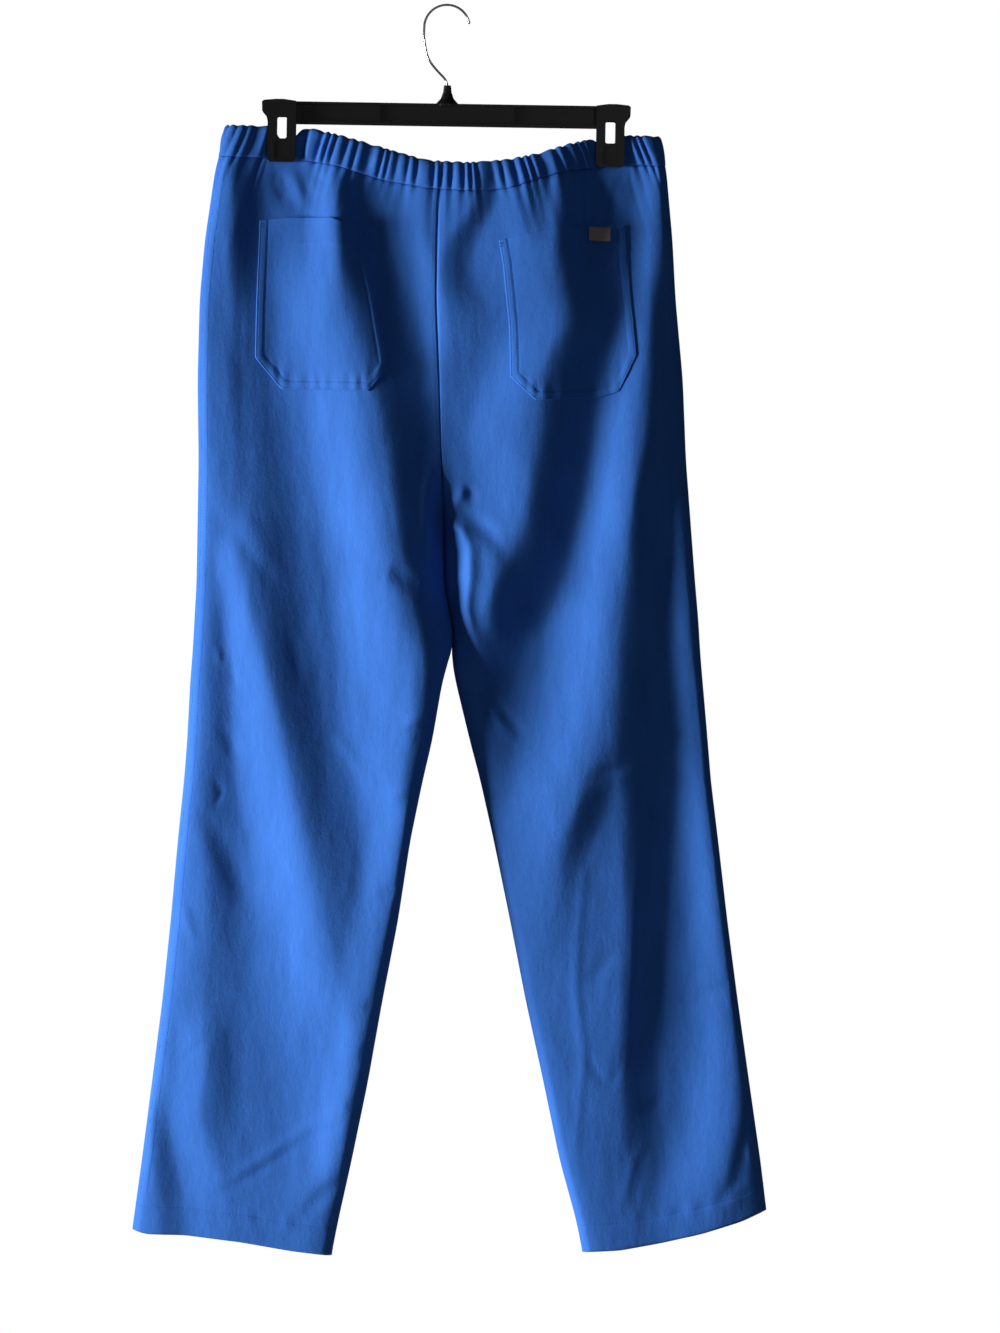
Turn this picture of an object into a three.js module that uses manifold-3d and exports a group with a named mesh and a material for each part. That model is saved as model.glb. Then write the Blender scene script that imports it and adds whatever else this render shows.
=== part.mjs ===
// Scrub trousers hung by the waistband from a clip hanger, as a three.js scene graph.
// Millimetres, +Z up. The origin is the inside top of the wire hook, where the hanger hangs.
// The back of the trousers faces -Y, the wearer's left is -X.

import * as THREE from "three";
import { mergeVertices } from "three/addons/utils/BufferGeometryUtils.js";
import Module from "manifold-3d";

const wasm = await Module();
wasm.setup();

// Driving dimensions of the cloth

const LEFT = -1;
const RIGHT = 1;
const BACK = -1;
const FRONT = 1;

const SEAM_GAP = 0.3;
const CLOTH = 1.3;
const HEM_CLOTH = 2.6;
const HEM_HEIGHT = 27;
const CASING = 2.2;
const CROTCH_Z = -507;
const CROTCH_BLEND = 78;
const CROTCH_JOINED = 60;
const COLUMN_BLEND = 210;
const HEM_BASE_Z = -1190;
const WAIST_BASE_Z = -165;
const WAIST_REACH = 130;
const HEM_REACH = 190;
const FRONT_DROP = 5;
const FRONT_DROP_EASE = 0.35;
const HEM_TURN = 3;
const ROW_CROWDING = 0.4;

const PANEL_COLUMNS = 20;
const SEAT_ROWS = 10;
const LEG_ROWS = 13;
const GATHERS_A_HALF = 42;
const COLUMNS_A_GATHER = 4;
const GATHER_DEPTH = 1.5;
const GATHER_WANDER = 0.28;
const SIDE_CALM = 0.3;
const CASING_MIDDLE_Z = -135;

const WAIST_ROUNDNESS = 2.4;
const HIP_ROUNDNESS = 3.6;
const LEG_ROUNDNESS = 4;
const ROUNDNESS_FROM = -170;
const ROUNDNESS_TO = -260;

// Width and depth of the trousers from the waist down to the hem.
// side: the outer edge, inner: the centre seam above the crotch and the inseam below it,
// back and front: how far the cloth stands out behind and before the side seams,
// turn: how far the left leg's inseam hangs behind its side seam.
const BODY = [
  { z: -110, leftSide: -211, leftInner: -6, rightInner: -6, rightSide: 201, back: 9, front: 8, turn: 0 },
  { z: -140, leftSide: -219, leftInner: -6, rightInner: -6, rightSide: 208, back: 12, front: 10, turn: 0 },
  { z: -157, leftSide: -224, leftInner: -6, rightInner: -6, rightSide: 212, back: 14, front: 12, turn: 0 },
  { z: -192, leftSide: -229, leftInner: -8, rightInner: -8, rightSide: 215, back: 18, front: 16, turn: 0 },
  { z: -226, leftSide: -234, leftInner: -9, rightInner: -9, rightSide: 218, back: 23, front: 20, turn: 0 },
  { z: -284, leftSide: -239, leftInner: -10, rightInner: -10, rightSide: 221, back: 28, front: 25, turn: 0 },
  { z: -362, leftSide: -241, leftInner: -7, rightInner: -7, rightSide: 228, back: 33, front: 29, turn: 0 },
  { z: -439, leftSide: -240, leftInner: -5, rightInner: -5, rightSide: 231, back: 34, front: 30, turn: 0 },
  { z: -507, leftSide: -241, leftInner: -3, rightInner: -3, rightSide: 236, back: 33, front: 30, turn: 0 },
  { z: -560, leftSide: -242, leftInner: -3.2, rightInner: -2.8, rightSide: 240, back: 31, front: 29, turn: 6 },
  { z: -594, leftSide: -244, leftInner: 3.4, rightInner: 3.8, rightSide: 243, back: 30, front: 28, turn: 11 },
  { z: -612, leftSide: -245, leftInner: 6, rightInner: 6.4, rightSide: 244, back: 29, front: 28, turn: 13 },
  { z: -629, leftSide: -246, leftInner: 3, rightInner: 4.2, rightSide: 245, back: 29, front: 28, turn: 16 },
  { z: -652, leftSide: -248, leftInner: -4, rightInner: 8, rightSide: 247, back: 28, front: 27, turn: 19 },
  { z: -710, leftSide: -251, leftInner: -14, rightInner: 22, rightSide: 252, back: 27, front: 26, turn: 25 },
  { z: -748, leftSide: -254, leftInner: -23, rightInner: 32, rightSide: 255, back: 26, front: 25, turn: 28 },
  { z: -806, leftSide: -260, leftInner: -35, rightInner: 45, rightSide: 262, back: 25, front: 24, turn: 31 },
  { z: -884, leftSide: -267, leftInner: -47, rightInner: 61, rightSide: 271, back: 23, front: 22, turn: 33 },
  { z: -961, leftSide: -275, leftInner: -62, rightInner: 76, rightSide: 281, back: 22, front: 21, turn: 32 },
  { z: -1039, leftSide: -285, leftInner: -76, rightInner: 93, rightSide: 292, back: 20, front: 19, turn: 27 },
  { z: -1116, leftSide: -295, leftInner: -92, rightInner: 109, rightSide: 303, back: 19, front: 18, turn: 21 },
  { z: -1174, leftSide: -303, leftInner: -105, rightInner: 125, rightSide: 310, back: 18, front: 17, turn: 17 },
  { z: -1210, leftSide: -308, leftInner: -112, rightInner: 132, rightSide: 316, back: 18, front: 17, turn: 16 },
];

// The waist casing sags between the clips: its upper edge and the line where the panels start.
const CASING_EDGES = [
  { x: -225, top: -116, low: -146 },
  { x: -180, top: -117, low: -147 },
  { x: -172, top: -120, low: -147 },
  { x: -167, top: -129, low: -147.5 },
  { x: -149, top: -129, low: -149 },
  { x: -143, top: -121, low: -149.5 },
  { x: -137, top: -119.5, low: -150 },
  { x: -105, top: -127, low: -156 },
  { x: -63, top: -139, low: -169 },
  { x: -20, top: -151, low: -177 },
  { x: 20, top: -153, low: -180 },
  { x: 60, top: -150, low: -178 },
  { x: 90, top: -144, low: -168 },
  { x: 120, top: -135, low: -160 },
  { x: 145, top: -129, low: -157 },
  { x: 150, top: -135, low: -156.5 },
  { x: 168, top: -135, low: -155 },
  { x: 175, top: -126, low: -154 },
  { x: 215, top: -127, low: -156 },
];

// The hem hangs square to each leg, so it rises towards the outer edge.
const HEM_EDGE = [
  { x: -306, z: -1181 },
  { x: -292, z: -1186 },
  { x: -253, z: -1187 },
  { x: -200, z: -1193 },
  { x: -152, z: -1201 },
  { x: -111, z: -1206 },
  { x: 131, z: -1204 },
  { x: 167, z: -1202 },
  { x: 206, z: -1195 },
  { x: 245, z: -1186 },
  { x: 284, z: -1174 },
  { x: 311, z: -1162 },
];

// The folds of the back, each as a strip that slopes: crossed towards +X, the cloth rises by
// step where step is positive and falls where it is negative. x is the strip's middle and half
// is half its width. A strip starts and ends where its step comes to nothing.
const slope = (...rows) => rows.map(([z, x, step, half]) => ({ z, x, step, half }));
const FOLDS = [
  slope([-165, -216, -5, 16], [-200, -218, -8, 18], [-240, -219, -10, 20], [-304, -219, -12, 22],
    [-360, -219, -11, 22], [-420, -218, -9, 22], [-480, -218, -4, 20], [-530, -222, 0, 16]),
  slope([-165, -190, -9, 20], [-240, -192, -9, 22], [-304, -186, -12, 26], [-360, -186, -14, 30],
    [-420, -176, -12, 30], [-480, -170, -9, 30], [-540, -162, -8, 26], [-613, -155, -8, 26],
    [-690, -138, -8, 26], [-768, -120, -7, 26], [-840, -100, -5, 24], [-930, -90, 0, 24]),
  slope([-175, -208, 2, 14], [-240, -215, 0, 20], [-320, -216, -3, 20], [-400, -214, -6, 24],
    [-470, -212, -6, 24], [-530, -226, -5, 18], [-600, -223, -6, 16], [-660, -222, -5, 18],
    [-720, -224, -6, 20], [-780, -222, -8, 24], [-850, -214, -8, 20], [-910, -212, -7, 26],
    [-960, -212, -6, 28], [-1020, -214, -5, 20], [-1080, -214, -3, 26], [-1140, -200, 0, 26]),
  slope([-165, -128, 5, 14], [-200, -130, 6, 16], [-240, -146, 9, 24], [-304, -130, 12, 30],
    [-381, -112, 15, 32], [-458, -98, 20, 34], [-536, -84, 24, 36], [-613, -72, 27, 40],
    [-690, -68, 26, 42], [-740, -70, 20, 30], [-790, -58, 16, 28], [-845, -60, 10, 26],
    [-900, -66, 4, 30], [-960, -80, 0, 42]),
  slope([-165, -94, -20, 24], [-200, -92, -24, 28], [-240, -84, -25, 34], [-304, -62, -20, 36],
    [-360, -46, -20, 34], [-420, -34, -20, 32], [-470, -28, -19, 28], [-536, -20, -15, 24],
    [-600, -12, -8, 18], [-650, -8, -3, 14], [-700, -8, 0, 14]),
  slope([-170, -38, 4, 10], [-200, -37, 5, 12], [-226, -34, 5, 16], [-270, -18, 5, 16],
    [-304, -12, 5, 16], [-342, -7, 2, 14], [-390, -5, 0, 14]),
  slope([-165, 34, -6, 12], [-200, 36, -7, 12], [-226, 12, -8, 18], [-265, 8, -8, 18],
    [-304, 26, -5, 30], [-360, 8, -3, 20], [-400, 10, 0, 20]),
  slope([-200, 55, 3, 14], [-240, 60, 3, 30], [-304, 84, 5, 26], [-342, 68, 8, 28],
    [-381, 52, 9, 28], [-420, 42, 10, 28], [-458, 52, 9, 30], [-497, 60, 6, 26], [-540, 66, 0, 28]),
  slope([-165, 88, -4, 14], [-200, 84, -5, 14], [-226, 90, 0, 14]),
  slope([-165, 145, -12, 16], [-200, 145, -16, 22], [-240, 146, -20, 34], [-304, 142, -21, 30],
    [-360, 120, -22, 34], [-420, 114, -20, 32], [-458, 108, -19, 32], [-536, 90, -19, 34],
    [-574, 70, -18, 34], [-613, 58, -15, 30], [-652, 42, -12, 22], [-690, 46, -10, 26],
    [-720, 50, -6, 24], [-750, 48, 0, 24]),
  slope([-165, 180, 3, 14], [-240, 183, 4, 14], [-304, 178, 6, 18], [-360, 170, 10, 22],
    [-420, 160, 14, 26], [-480, 154, 16, 28], [-540, 142, 16, 32], [-574, 132, 17, 32],
    [-613, 124, 20, 36], [-690, 112, 20, 40], [-768, 88, 14, 42], [-845, 72, 6, 38],
    [-940, 60, 0, 38]),
  slope([-165, 203, -6, 12], [-240, 208, -6, 14], [-304, 210, -8, 16], [-360, 212, -10, 20],
    [-420, 208, -12, 20], [-480, 196, -13, 22], [-540, 196, -14, 24], [-613, 191, -15, 30],
    [-690, 189, -19, 34], [-768, 194, -17, 30], [-845, 193, -15, 26], [-922, 190, -14, 24],
    [-1020, 186, -11, 22], [-1077, 189, -8, 22], [-1150, 188, 0, 26]),
  slope([-440, 220, 0, 14], [-480, 220, 6, 14], [-540, 223, 8, 16], [-613, 227, 9, 18],
    [-690, 238, 12, 22], [-768, 241, 16, 24], [-845, 247, 18, 28], [-922, 255, 20, 32],
    [-1000, 258, 24, 36], [-1077, 252, 24, 38], [-1130, 238, 18, 36], [-1190, 230, 7, 34]),
  slope([-500, -214, 4, 14], [-536, -212, 8, 16], [-613, -198, 13, 20], [-690, -184, 17, 26],
    [-768, -172, 22, 30], [-845, -157, 24, 32], [-922, -142, 24, 38], [-1000, -122, 24, 42],
    [-1077, -126, 17, 34], [-1116, -129, 10, 34], [-1160, -145, 3, 30]),
  slope([-960, -248, 0, 18], [-1000, -246, 6, 14], [-1030, -246, 7, 18], [-1077, -252, 9, 18],
    [-1130, -235, 8, 24], [-1180, -228, 4, 24]),
  slope([-1040, -284, 0, 12], [-1077, -280, -5, 12], [-1130, -270, -8, 16], [-1175, -267, -5, 16]),
  slope([-700, 172, 0, 18], [-750, 146, -6, 18], [-780, 137, -9, 18], [-820, 121, -5, 18],
    [-884, 121, 0, 18]),
  slope([-590, -30, 0, 14], [-640, -30, 5, 16], [-690, -36, 5, 18], [-748, -47, 5, 20],
    [-806, -58, 5, 20], [-884, -74, 5, 24], [-961, -88, 8, 20], [-1039, -102, 8, 18],
    [-1116, -118, 6, 18], [-1170, -130, 0, 16]),
  slope([-900, 125, 0, 34], [-960, 135, 6, 36], [-1020, 138, 4, 34], [-1080, 142, 4, 34],
    [-1150, 150, 0, 30]),
  slope([-540, 12, 0, 10], [-600, 20, -6, 14], [-650, 21, -6, 14], [-700, 32, -4, 14],
    [-740, 42, 0, 14]),
];
const FOLDS_START = { from: -145, to: -180 };

// The front folds are drawn like those of the back, mirrored about this x and a little weaker.
const MIRROR_X = -4;
const FRONT_SHARE = 0.75;
const SEAM_FADE = 0.16;
const LEAST_DEPTH = 5;
const DEPTH_EASE = 8;

// Clips: where they press the waist flat, and how far that reaches into the cloth.
const CLIP_LEFT_X = -157.5;
const CLIP_RIGHT_X = 159.5;
const PINCH_HALF = 18;
const PINCH_REACH = 62;
const PINCH_DEPTH = 155;
const PINCH_TOP = WAIST_BASE_Z + 5;
const GATHERS_FROM = 16;
const GATHERS_TO = 24;
const PINCHED_Y = SEAM_GAP / 2 + CASING;

// Patch pockets on the back, as outlines in x and z, and the tab in the right one's mouth.
const POCKET_GAP = 0.5;
const POCKET_CLOTH = 1.5;
const TAB_CLOTH = 1;
const PATCH_FROM_COLUMN = 3;
const CUTTER_REACH = 200;
const POCKET_LEFT = [
  [-181, -208], [-154, -205], [-112, -206], [-94, -212], [-77, -218.5],
  [-75, -249], [-68, -278], [-56, -349], [-74, -374], [-160, -371],
  [-185, -341], [-184, -291],
];
const POCKET_RIGHT = [
  [50, -228], [65, -225], [90, -219.5], [110, -214.5], [136, -214.5], [172, -212],
  [177, -275], [183, -339], [166, -374], [147, -380], [85, -383],
  [61, -360], [60, -313], [54, -252],
];
const POCKET_TAB = [[137, -214.5], [158, -214], [158, -228], [137, -228]];

// Colours of the cloth and the hanger

const CLOTH_COLOUR = 0x2f66bd;
const CASING_COLOUR = 0x2c60b4;
const TAB_COLOUR = 0x8d857c;
const PLASTIC_COLOUR = 0x121214;
const CHROME_COLOUR = 0xc9ccd0;

const clothMaterial = () => new THREE.MeshStandardMaterial({ color: CLOTH_COLOUR, roughness: 0.85 });
const casingMaterial = () => new THREE.MeshStandardMaterial({ color: CASING_COLOUR, roughness: 0.85 });
const tabMaterial = () => new THREE.MeshStandardMaterial({ color: TAB_COLOUR, roughness: 0.8 });
const plasticMaterial = () => new THREE.MeshStandardMaterial({ color: PLASTIC_COLOUR, roughness: 0.4 });
const chromeMaterial = () =>
  new THREE.MeshStandardMaterial({ color: CHROME_COLOUR, roughness: 0.18, metalness: 1 });

// Small helpers

const mix = (a, b, share) => a + (b - a) * share;

function smooth(from, to, value) {
  const share = Math.min(Math.max((value - from) / (to - from), 0), 1);
  return share * share * (3 - 2 * share);
}

// Straight interpolation in a table whose rows are sorted by the column `key`.
function lookUp(table, key, at) {
  const rising = table[table.length - 1][key] > table[0][key];
  const next = table.findIndex((row) => (rising ? row[key] >= at : row[key] <= at));
  if (next === 0) return table[0];
  if (next < 0) return table[table.length - 1];
  const before = table[next - 1];
  const after = table[next];
  const share = (at - before[key]) / (after[key] - before[key]);
  const result = {};
  for (const name of Object.keys(before)) result[name] = mix(before[name], after[name], share);
  return result;
}

function roundPower(value, roundness) {
  return Math.sign(value) * Math.abs(value) ** (2 / roundness);
}

// Height of a superellipse of height 1 at a share of its half width.
function arch(share, roundness) {
  return Math.max(1 - Math.abs(share) ** roundness, 0) ** (1 / roundness);
}

// A value kept above a floor, with a soft bend where it comes near.
function softFloor(value, floor, ease) {
  const over = value - floor;
  return floor + (over + Math.hypot(over, ease)) / 2;
}

// The surface of the trousers

// The rise of all folds of the back from far left to x.
function foldRise(x, z) {
  let rise = 0;
  for (const fold of FOLDS) {
    const { x: middle, step, half } = lookUp(fold, "z", z);
    rise += step * smooth(middle - half, middle + half, x);
  }
  return rise * smooth(FOLDS_START.from, FOLDS_START.to, z);
}

// How far the folds move the cloth out at x and z, level with the seams at both of its sides.
function foldOut(x, z, row, side) {
  const level = (from, to) => {
    const start = foldRise(from, z);
    const end = foldRise(to, z);
    return foldRise(x, z) - mix(start, end, (x - from) / (to - from));
  };
  const outer = side === LEFT ? row.leftSide : row.rightSide;
  const inner = side === LEFT ? row.leftInner : row.rightInner;
  return mix(level(row.leftSide, row.rightSide), level(outer, inner), legShare(z));
}

// The front's folds are those of the other side of the back, mirrored.
function mirroredFold(x, z, row, side) {
  const mirror = (value) => 2 * MIRROR_X - value;
  const mirroredRow = {
    leftSide: mirror(row.rightSide),
    leftInner: mirror(row.rightInner),
    rightInner: mirror(row.leftInner),
    rightSide: mirror(row.leftSide),
  };
  return foldOut(mirror(x), z, mirroredRow, -side);
}

// How strongly the clips press the waist flat at x and z.
function pinch(x, z) {
  const away = Math.min(Math.abs(x - CLIP_LEFT_X), Math.abs(x - CLIP_RIGHT_X));
  const across = 1 - smooth(PINCH_HALF, PINCH_HALF + PINCH_REACH, away);
  const down = smooth(WAIST_BASE_Z - PINCH_DEPTH, PINCH_TOP, z);
  return across * down;
}

// 0 under a clip, where the casing is pressed, and 1 beside it, where its gathers start.
function clearOfClips(x) {
  const away = Math.min(Math.abs(x - CLIP_LEFT_X), Math.abs(x - CLIP_RIGHT_X));
  return smooth(GATHERS_FROM, GATHERS_TO, away);
}

// Share of the leg's own section at a height: 0 over the seat, 1 below the crotch. The columns
// of the grid spread to the leg's over a longer way than the cloth turns in to the inseam.
const legShare = (z) => smooth(CROTCH_Z + CROTCH_BLEND, CROTCH_Z, z);
const columnShare = (z) => smooth(CROTCH_Z + COLUMN_BLEND, CROTCH_Z, z);

// Where the seams' plane lies at x: the left leg's inseam hangs behind its side seam.
function seamPlane(side, x, row) {
  if (side === RIGHT) return 0;
  return -row.turn * Math.min((x - row.leftSide) / (row.leftInner - row.leftSide), 1);
}

// A point of the cloth's outer surface. along runs from 0 at the side seam to 1 at the centre
// seam or the inseam.
function clothPoint(side, face, along, z) {
  const row = lookUp(BODY, "z", z);
  const outer = side === LEFT ? row.leftSide : row.rightSide;
  const inner = side === LEFT ? row.leftInner : row.rightInner;
  const depth = face === BACK ? row.back : row.front;
  const middle = (outer + inner) / 2;
  const halfWidth = (outer - inner) / 2;
  const hipRoundness = mix(WAIST_ROUNDNESS, HIP_ROUNDNESS, smooth(ROUNDNESS_FROM, ROUNDNESS_TO, z));
  const hipX = inner + (outer - inner) * roundPower(Math.cos((along * Math.PI) / 2), hipRoundness);
  const legX = middle + halfWidth * roundPower(Math.cos(along * Math.PI), LEG_ROUNDNESS);
  const x = mix(hipX, legX, columnShare(z));
  const hipY = depth * arch((x - inner) / (outer - inner), hipRoundness);
  const legY = depth * arch((x - middle) / halfWidth, LEG_ROUNDNESS);
  const leg = legShare(z);
  const nearSide = smooth(0, SEAM_FADE, along);
  const nearInseam = mix(1, smooth(0, SEAM_FADE, 1 - along), leg);
  const fold =
    face === BACK ? foldOut(x, z, row, side) : FRONT_SHARE * mirroredFold(x, z, row, side);
  const open = mix(hipY, legY, leg) + fold * nearSide * nearInseam;
  const floor = Math.min(LEAST_DEPTH, mix(hipY, legY, leg));
  const free = mix(open, softFloor(open, floor, DEPTH_EASE), nearSide * nearInseam);
  const y = mix(Math.max(free, PINCHED_Y * nearSide), PINCHED_Y, pinch(x, z) * nearSide);
  return new THREE.Vector3(x, face * y + seamPlane(side, x, row), z);
}

// Closed cloth walls from grids of points

// Makes one closed body from an outer and an inner grid of the same size.
// turn is 1 where columns run across rows anticlockwise seen from outside, or -1.
function wall(outer, inner, turn) {
  const rows = outer.length;
  const columns = outer[0].length;
  const positions = [];
  for (const grid of [outer, inner]) {
    for (const row of grid) {
      for (const point of row) positions.push(point.x, point.y, point.z);
    }
  }
  const insideStart = rows * columns;
  const faces = [];
  const triangle = (a, b, c) => faces.push(...(turn > 0 ? [a, b, c] : [a, c, b]));
  const quad = (a, b, c, d) => {
    triangle(a, b, c);
    triangle(a, c, d);
  };
  const at = (row, column) => row * columns + column;
  for (let row = 0; row < rows - 1; row++) {
    for (let column = 0; column < columns - 1; column++) {
      const corners = [at(row, column), at(row, column + 1), at(row + 1, column + 1), at(row + 1, column)];
      quad(...corners);
      const [a, b, c, d] = corners.map((corner) => corner + insideStart);
      quad(a, d, c, b);
    }
  }
  const rim = (a, b) => quad(b, a, a + insideStart, b + insideStart);
  for (let column = 0; column < columns - 1; column++) {
    rim(at(0, column), at(0, column + 1));
    rim(at(rows - 1, column + 1), at(rows - 1, column));
  }
  for (let row = 0; row < rows - 1; row++) {
    rim(at(row, columns - 1), at(row + 1, columns - 1));
    rim(at(row + 1, 0), at(row, 0));
  }
  const geometry = new THREE.BufferGeometry();
  geometry.setAttribute("position", new THREE.Float32BufferAttribute(positions, 3));
  geometry.setIndex(faces);
  return geometry;
}

// Normals of a grid of points, from its neighbours, facing out.
function gridNormals(grid, turn) {
  const lastRow = grid.length - 1;
  return grid.map((line, row) =>
    line.map((point, column) => {
      const acrossStep = line[Math.min(column + 1, line.length - 1)]
        .clone()
        .sub(line[Math.max(column - 1, 0)]);
      const downStep = grid[Math.min(row + 1, lastRow)][column]
        .clone()
        .sub(grid[Math.max(row - 1, 0)][column]);
      return acrossStep.cross(downStep).multiplyScalar(turn).normalize();
    }),
  );
}

// Trouser panels

// Heights of a panel's rows before its ends are bent: denser around the crotch.
function rowHeights() {
  const heights = [];
  for (let row = 0; row < SEAT_ROWS; row++) {
    const share = row / SEAT_ROWS;
    const eased = mix(share, Math.sin((share * Math.PI) / 2), ROW_CROWDING);
    heights.push(mix(WAIST_BASE_Z, CROTCH_Z, eased));
  }
  for (let row = 0; row < LEG_ROWS; row++) {
    const share = row / (LEG_ROWS - 1);
    const eased = mix(share, 1 - Math.cos((share * Math.PI) / 2), ROW_CROWDING);
    heights.push(mix(CROTCH_Z, HEM_BASE_Z + HEM_HEIGHT, eased));
  }
  heights.push(HEM_BASE_Z + HEM_HEIGHT - HEM_TURN, HEM_BASE_Z);
  return heights;
}

// The front of the waist hangs a little lower between the clips.
function frontDrop(face, along, x) {
  if (face === BACK) return 0;
  return FRONT_DROP * smooth(0, FRONT_DROP_EASE, along) * (1 - pinch(x, PINCH_TOP));
}

// Bends a row's height so that the top follows the casing and the bottom the hem.
function bentHeight(side, face, along, base) {
  const waistX = clothPoint(side, face, along, WAIST_BASE_Z).x;
  const hemX = clothPoint(side, face, along, HEM_BASE_Z).x;
  const drop = frontDrop(face, along, waistX);
  const topShift = lookUp(CASING_EDGES, "x", waistX).low - drop - SEAM_GAP / 2 - WAIST_BASE_Z;
  const hemShift = lookUp(HEM_EDGE, "x", hemX).z - HEM_BASE_Z;
  const nearWaist = smooth(WAIST_BASE_Z - WAIST_REACH, WAIST_BASE_Z, base);
  const nearHem = smooth(HEM_BASE_Z + HEM_REACH, HEM_BASE_Z + HEM_HEIGHT, base);
  return base + topShift * nearWaist + hemShift * nearHem;
}

function panelGrid(side, face) {
  return rowHeights().map((base) => {
    const line = [];
    for (let column = 0; column <= PANEL_COLUMNS; column++) {
      const along = column / PANEL_COLUMNS;
      line.push(clothPoint(side, face, along, bentHeight(side, face, along, base)));
    }
    return line;
  });
}

// Keeps a point of a panel on its own side of the side seam, centre seam and inseam.
function keepClear(point, side, face) {
  const half = SEAM_GAP / 2;
  const row = lookUp(BODY, "z", point.z);
  const plane = seamPlane(side, point.x, row);
  point.y = plane + face * Math.max(face * (point.y - plane), half);
  if (point.z > CROTCH_Z - CROTCH_JOINED) {
    const middle = (row.leftInner + row.rightInner) / 2;
    point.x = middle + side * Math.max(side * (point.x - middle), half);
  }
}

function panelGeometry(side, face) {
  const turn = -side * face;
  const outer = panelGrid(side, face);
  const normals = gridNormals(outer, turn);
  const lastRow = outer.length - 1;
  const inner = outer.map((line, row) =>
    line.map((point, column) => {
      const normal = normals[row][column];
      if (row === 0 || row === lastRow) normal.z = 0;
      if (column === 0) normal.y = 0;
      if (column === PANEL_COLUMNS) {
        const leg = legShare(point.z);
        normal.set(-side * leg, face * (1 - leg), 0);
      }
      normal.normalize();
      const thickness = row > lastRow - 2 ? HEM_CLOTH : CLOTH;
      return point.clone().addScaledVector(normal, -thickness);
    }),
  );
  for (const grid of [outer, inner]) {
    for (const line of grid) for (const point of line) keepClear(point, side, face);
  }
  return wall(outer, inner, turn);
}

// Waist casing

// The height of a panel's top edge at x, as the straight facets of that edge give it.
function casingSeam(side, face) {
  const edge = panelGrid(side, face)[0].map((point) => ({ x: point.x, z: point.z }));
  if (side === RIGHT) edge.reverse();
  return (x) => lookUp(edge, "x", x).z;
}

// Even steps of length along the casing's section from the centre back to the centre front.
function casingSteps(side) {
  const samples = 400;
  const route = [];
  for (const face of [BACK, FRONT]) {
    for (let step = 0; step <= samples; step++) {
      const along = face === BACK ? 1 - step / samples : step / samples;
      const point = clothPoint(side, face, along, CASING_MIDDLE_Z);
      const last = route[route.length - 1];
      const length = last ? last.length + Math.hypot(point.x - last.x, point.y - last.y) : 0;
      route.push({ face, along, x: point.x, y: point.y, length });
    }
  }
  const columns = GATHERS_A_HALF * COLUMNS_A_GATHER;
  const total = route[route.length - 1].length;
  const steps = [];
  let from = 0;
  for (let column = 0; column <= columns; column++) {
    const wanted = (total * column) / columns;
    while (from < route.length - 2 && route[from + 1].length < wanted) from++;
    steps.push(route[from + (column === columns ? 1 : 0)]);
  }
  return steps;
}

// A gather's height on the casing, uneven as elastic draws it.
function gatherOut(column, share) {
  const uneven = 1 - GATHER_WANDER + GATHER_WANDER * Math.sin(column * 0.31) * Math.cos(column * 0.113 + 1);
  const wave = Math.cos((column * 2 * Math.PI) / COLUMNS_A_GATHER);
  return GATHER_DEPTH * uneven * wave * (0.75 + 0.25 * Math.sin(share * Math.PI));
}

function casingGeometry(side) {
  const seams = { [BACK]: casingSeam(side, BACK), [FRONT]: casingSeam(side, FRONT) };
  const rowShares = [0, 0.5, 1];
  const steps = casingSteps(side);
  const outer = rowShares.map((share) =>
    steps.map((step) => {
      const top = lookUp(CASING_EDGES, "x", step.x).top - frontDrop(step.face, step.along, step.x);
      let low = seams[step.face](step.x);
      for (let round = 0; round < 3; round++) {
        low = seams[step.face](clothPoint(side, step.face, step.along, low).x);
      }
      return clothPoint(side, step.face, step.along, mix(top, low + SEAM_GAP, share));
    }),
  );
  const turn = -side;
  const normals = gridNormals(outer, turn);
  for (const line of normals) {
    for (const normal of line) {
      normal.z = 0;
      normal.normalize();
    }
    line[0].set(0, BACK, 0);
    line[line.length - 1].set(0, FRONT, 0);
  }
  const lastColumn = steps.length - 1;
  outer.forEach((line, row) =>
    line.forEach((point, column) => {
      const lift = GATHER_DEPTH * pinch(point.x, PINCH_TOP);
      const free = clearOfClips(point.x) * smooth(0, SIDE_CALM, steps[column].along);
      const out = (gatherOut(column, rowShares[row]) + lift) * free;
      point.addScaledVector(normals[row][column], column % lastColumn === 0 ? 0 : out);
    }),
  );
  const inner = outer.map((line, row) =>
    line.map((point, column) => point.clone().addScaledVector(normals[row][column], -CASING)),
  );
  for (const grid of [outer, inner]) {
    for (const line of grid) {
      for (const column of [0, lastColumn]) {
        const centre = lookUp(BODY, "z", line[column].z).leftInner;
        line[column].x = centre + (side * SEAM_GAP) / 2;
      }
    }
  }
  return wall(outer, inner, turn);
}

// Solids that are cut or joined

function solidOf(geometry) {
  const plain = geometry.clone();
  for (const name of Object.keys(plain.attributes)) {
    if (name !== "position") plain.deleteAttribute(name);
  }
  const merged = mergeVertices(plain, 1e-4);
  return new wasm.Manifold(
    new wasm.Mesh({
      numProp: 3,
      vertProperties: merged.attributes.position.array,
      triVerts: new Uint32Array(merged.index.array),
    }),
  );
}

function geometryOf(solid) {
  const mesh = solid.getMesh();
  const geometry = new THREE.BufferGeometry();
  geometry.setAttribute("position", new THREE.Float32BufferAttribute(mesh.vertProperties, 3));
  geometry.setIndex([...mesh.triVerts]);
  geometry.computeVertexNormals();
  return geometry;
}

function shapeOf(points) {
  return new THREE.Shape(points.map(([x, z]) => new THREE.Vector2(x, z)));
}

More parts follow.
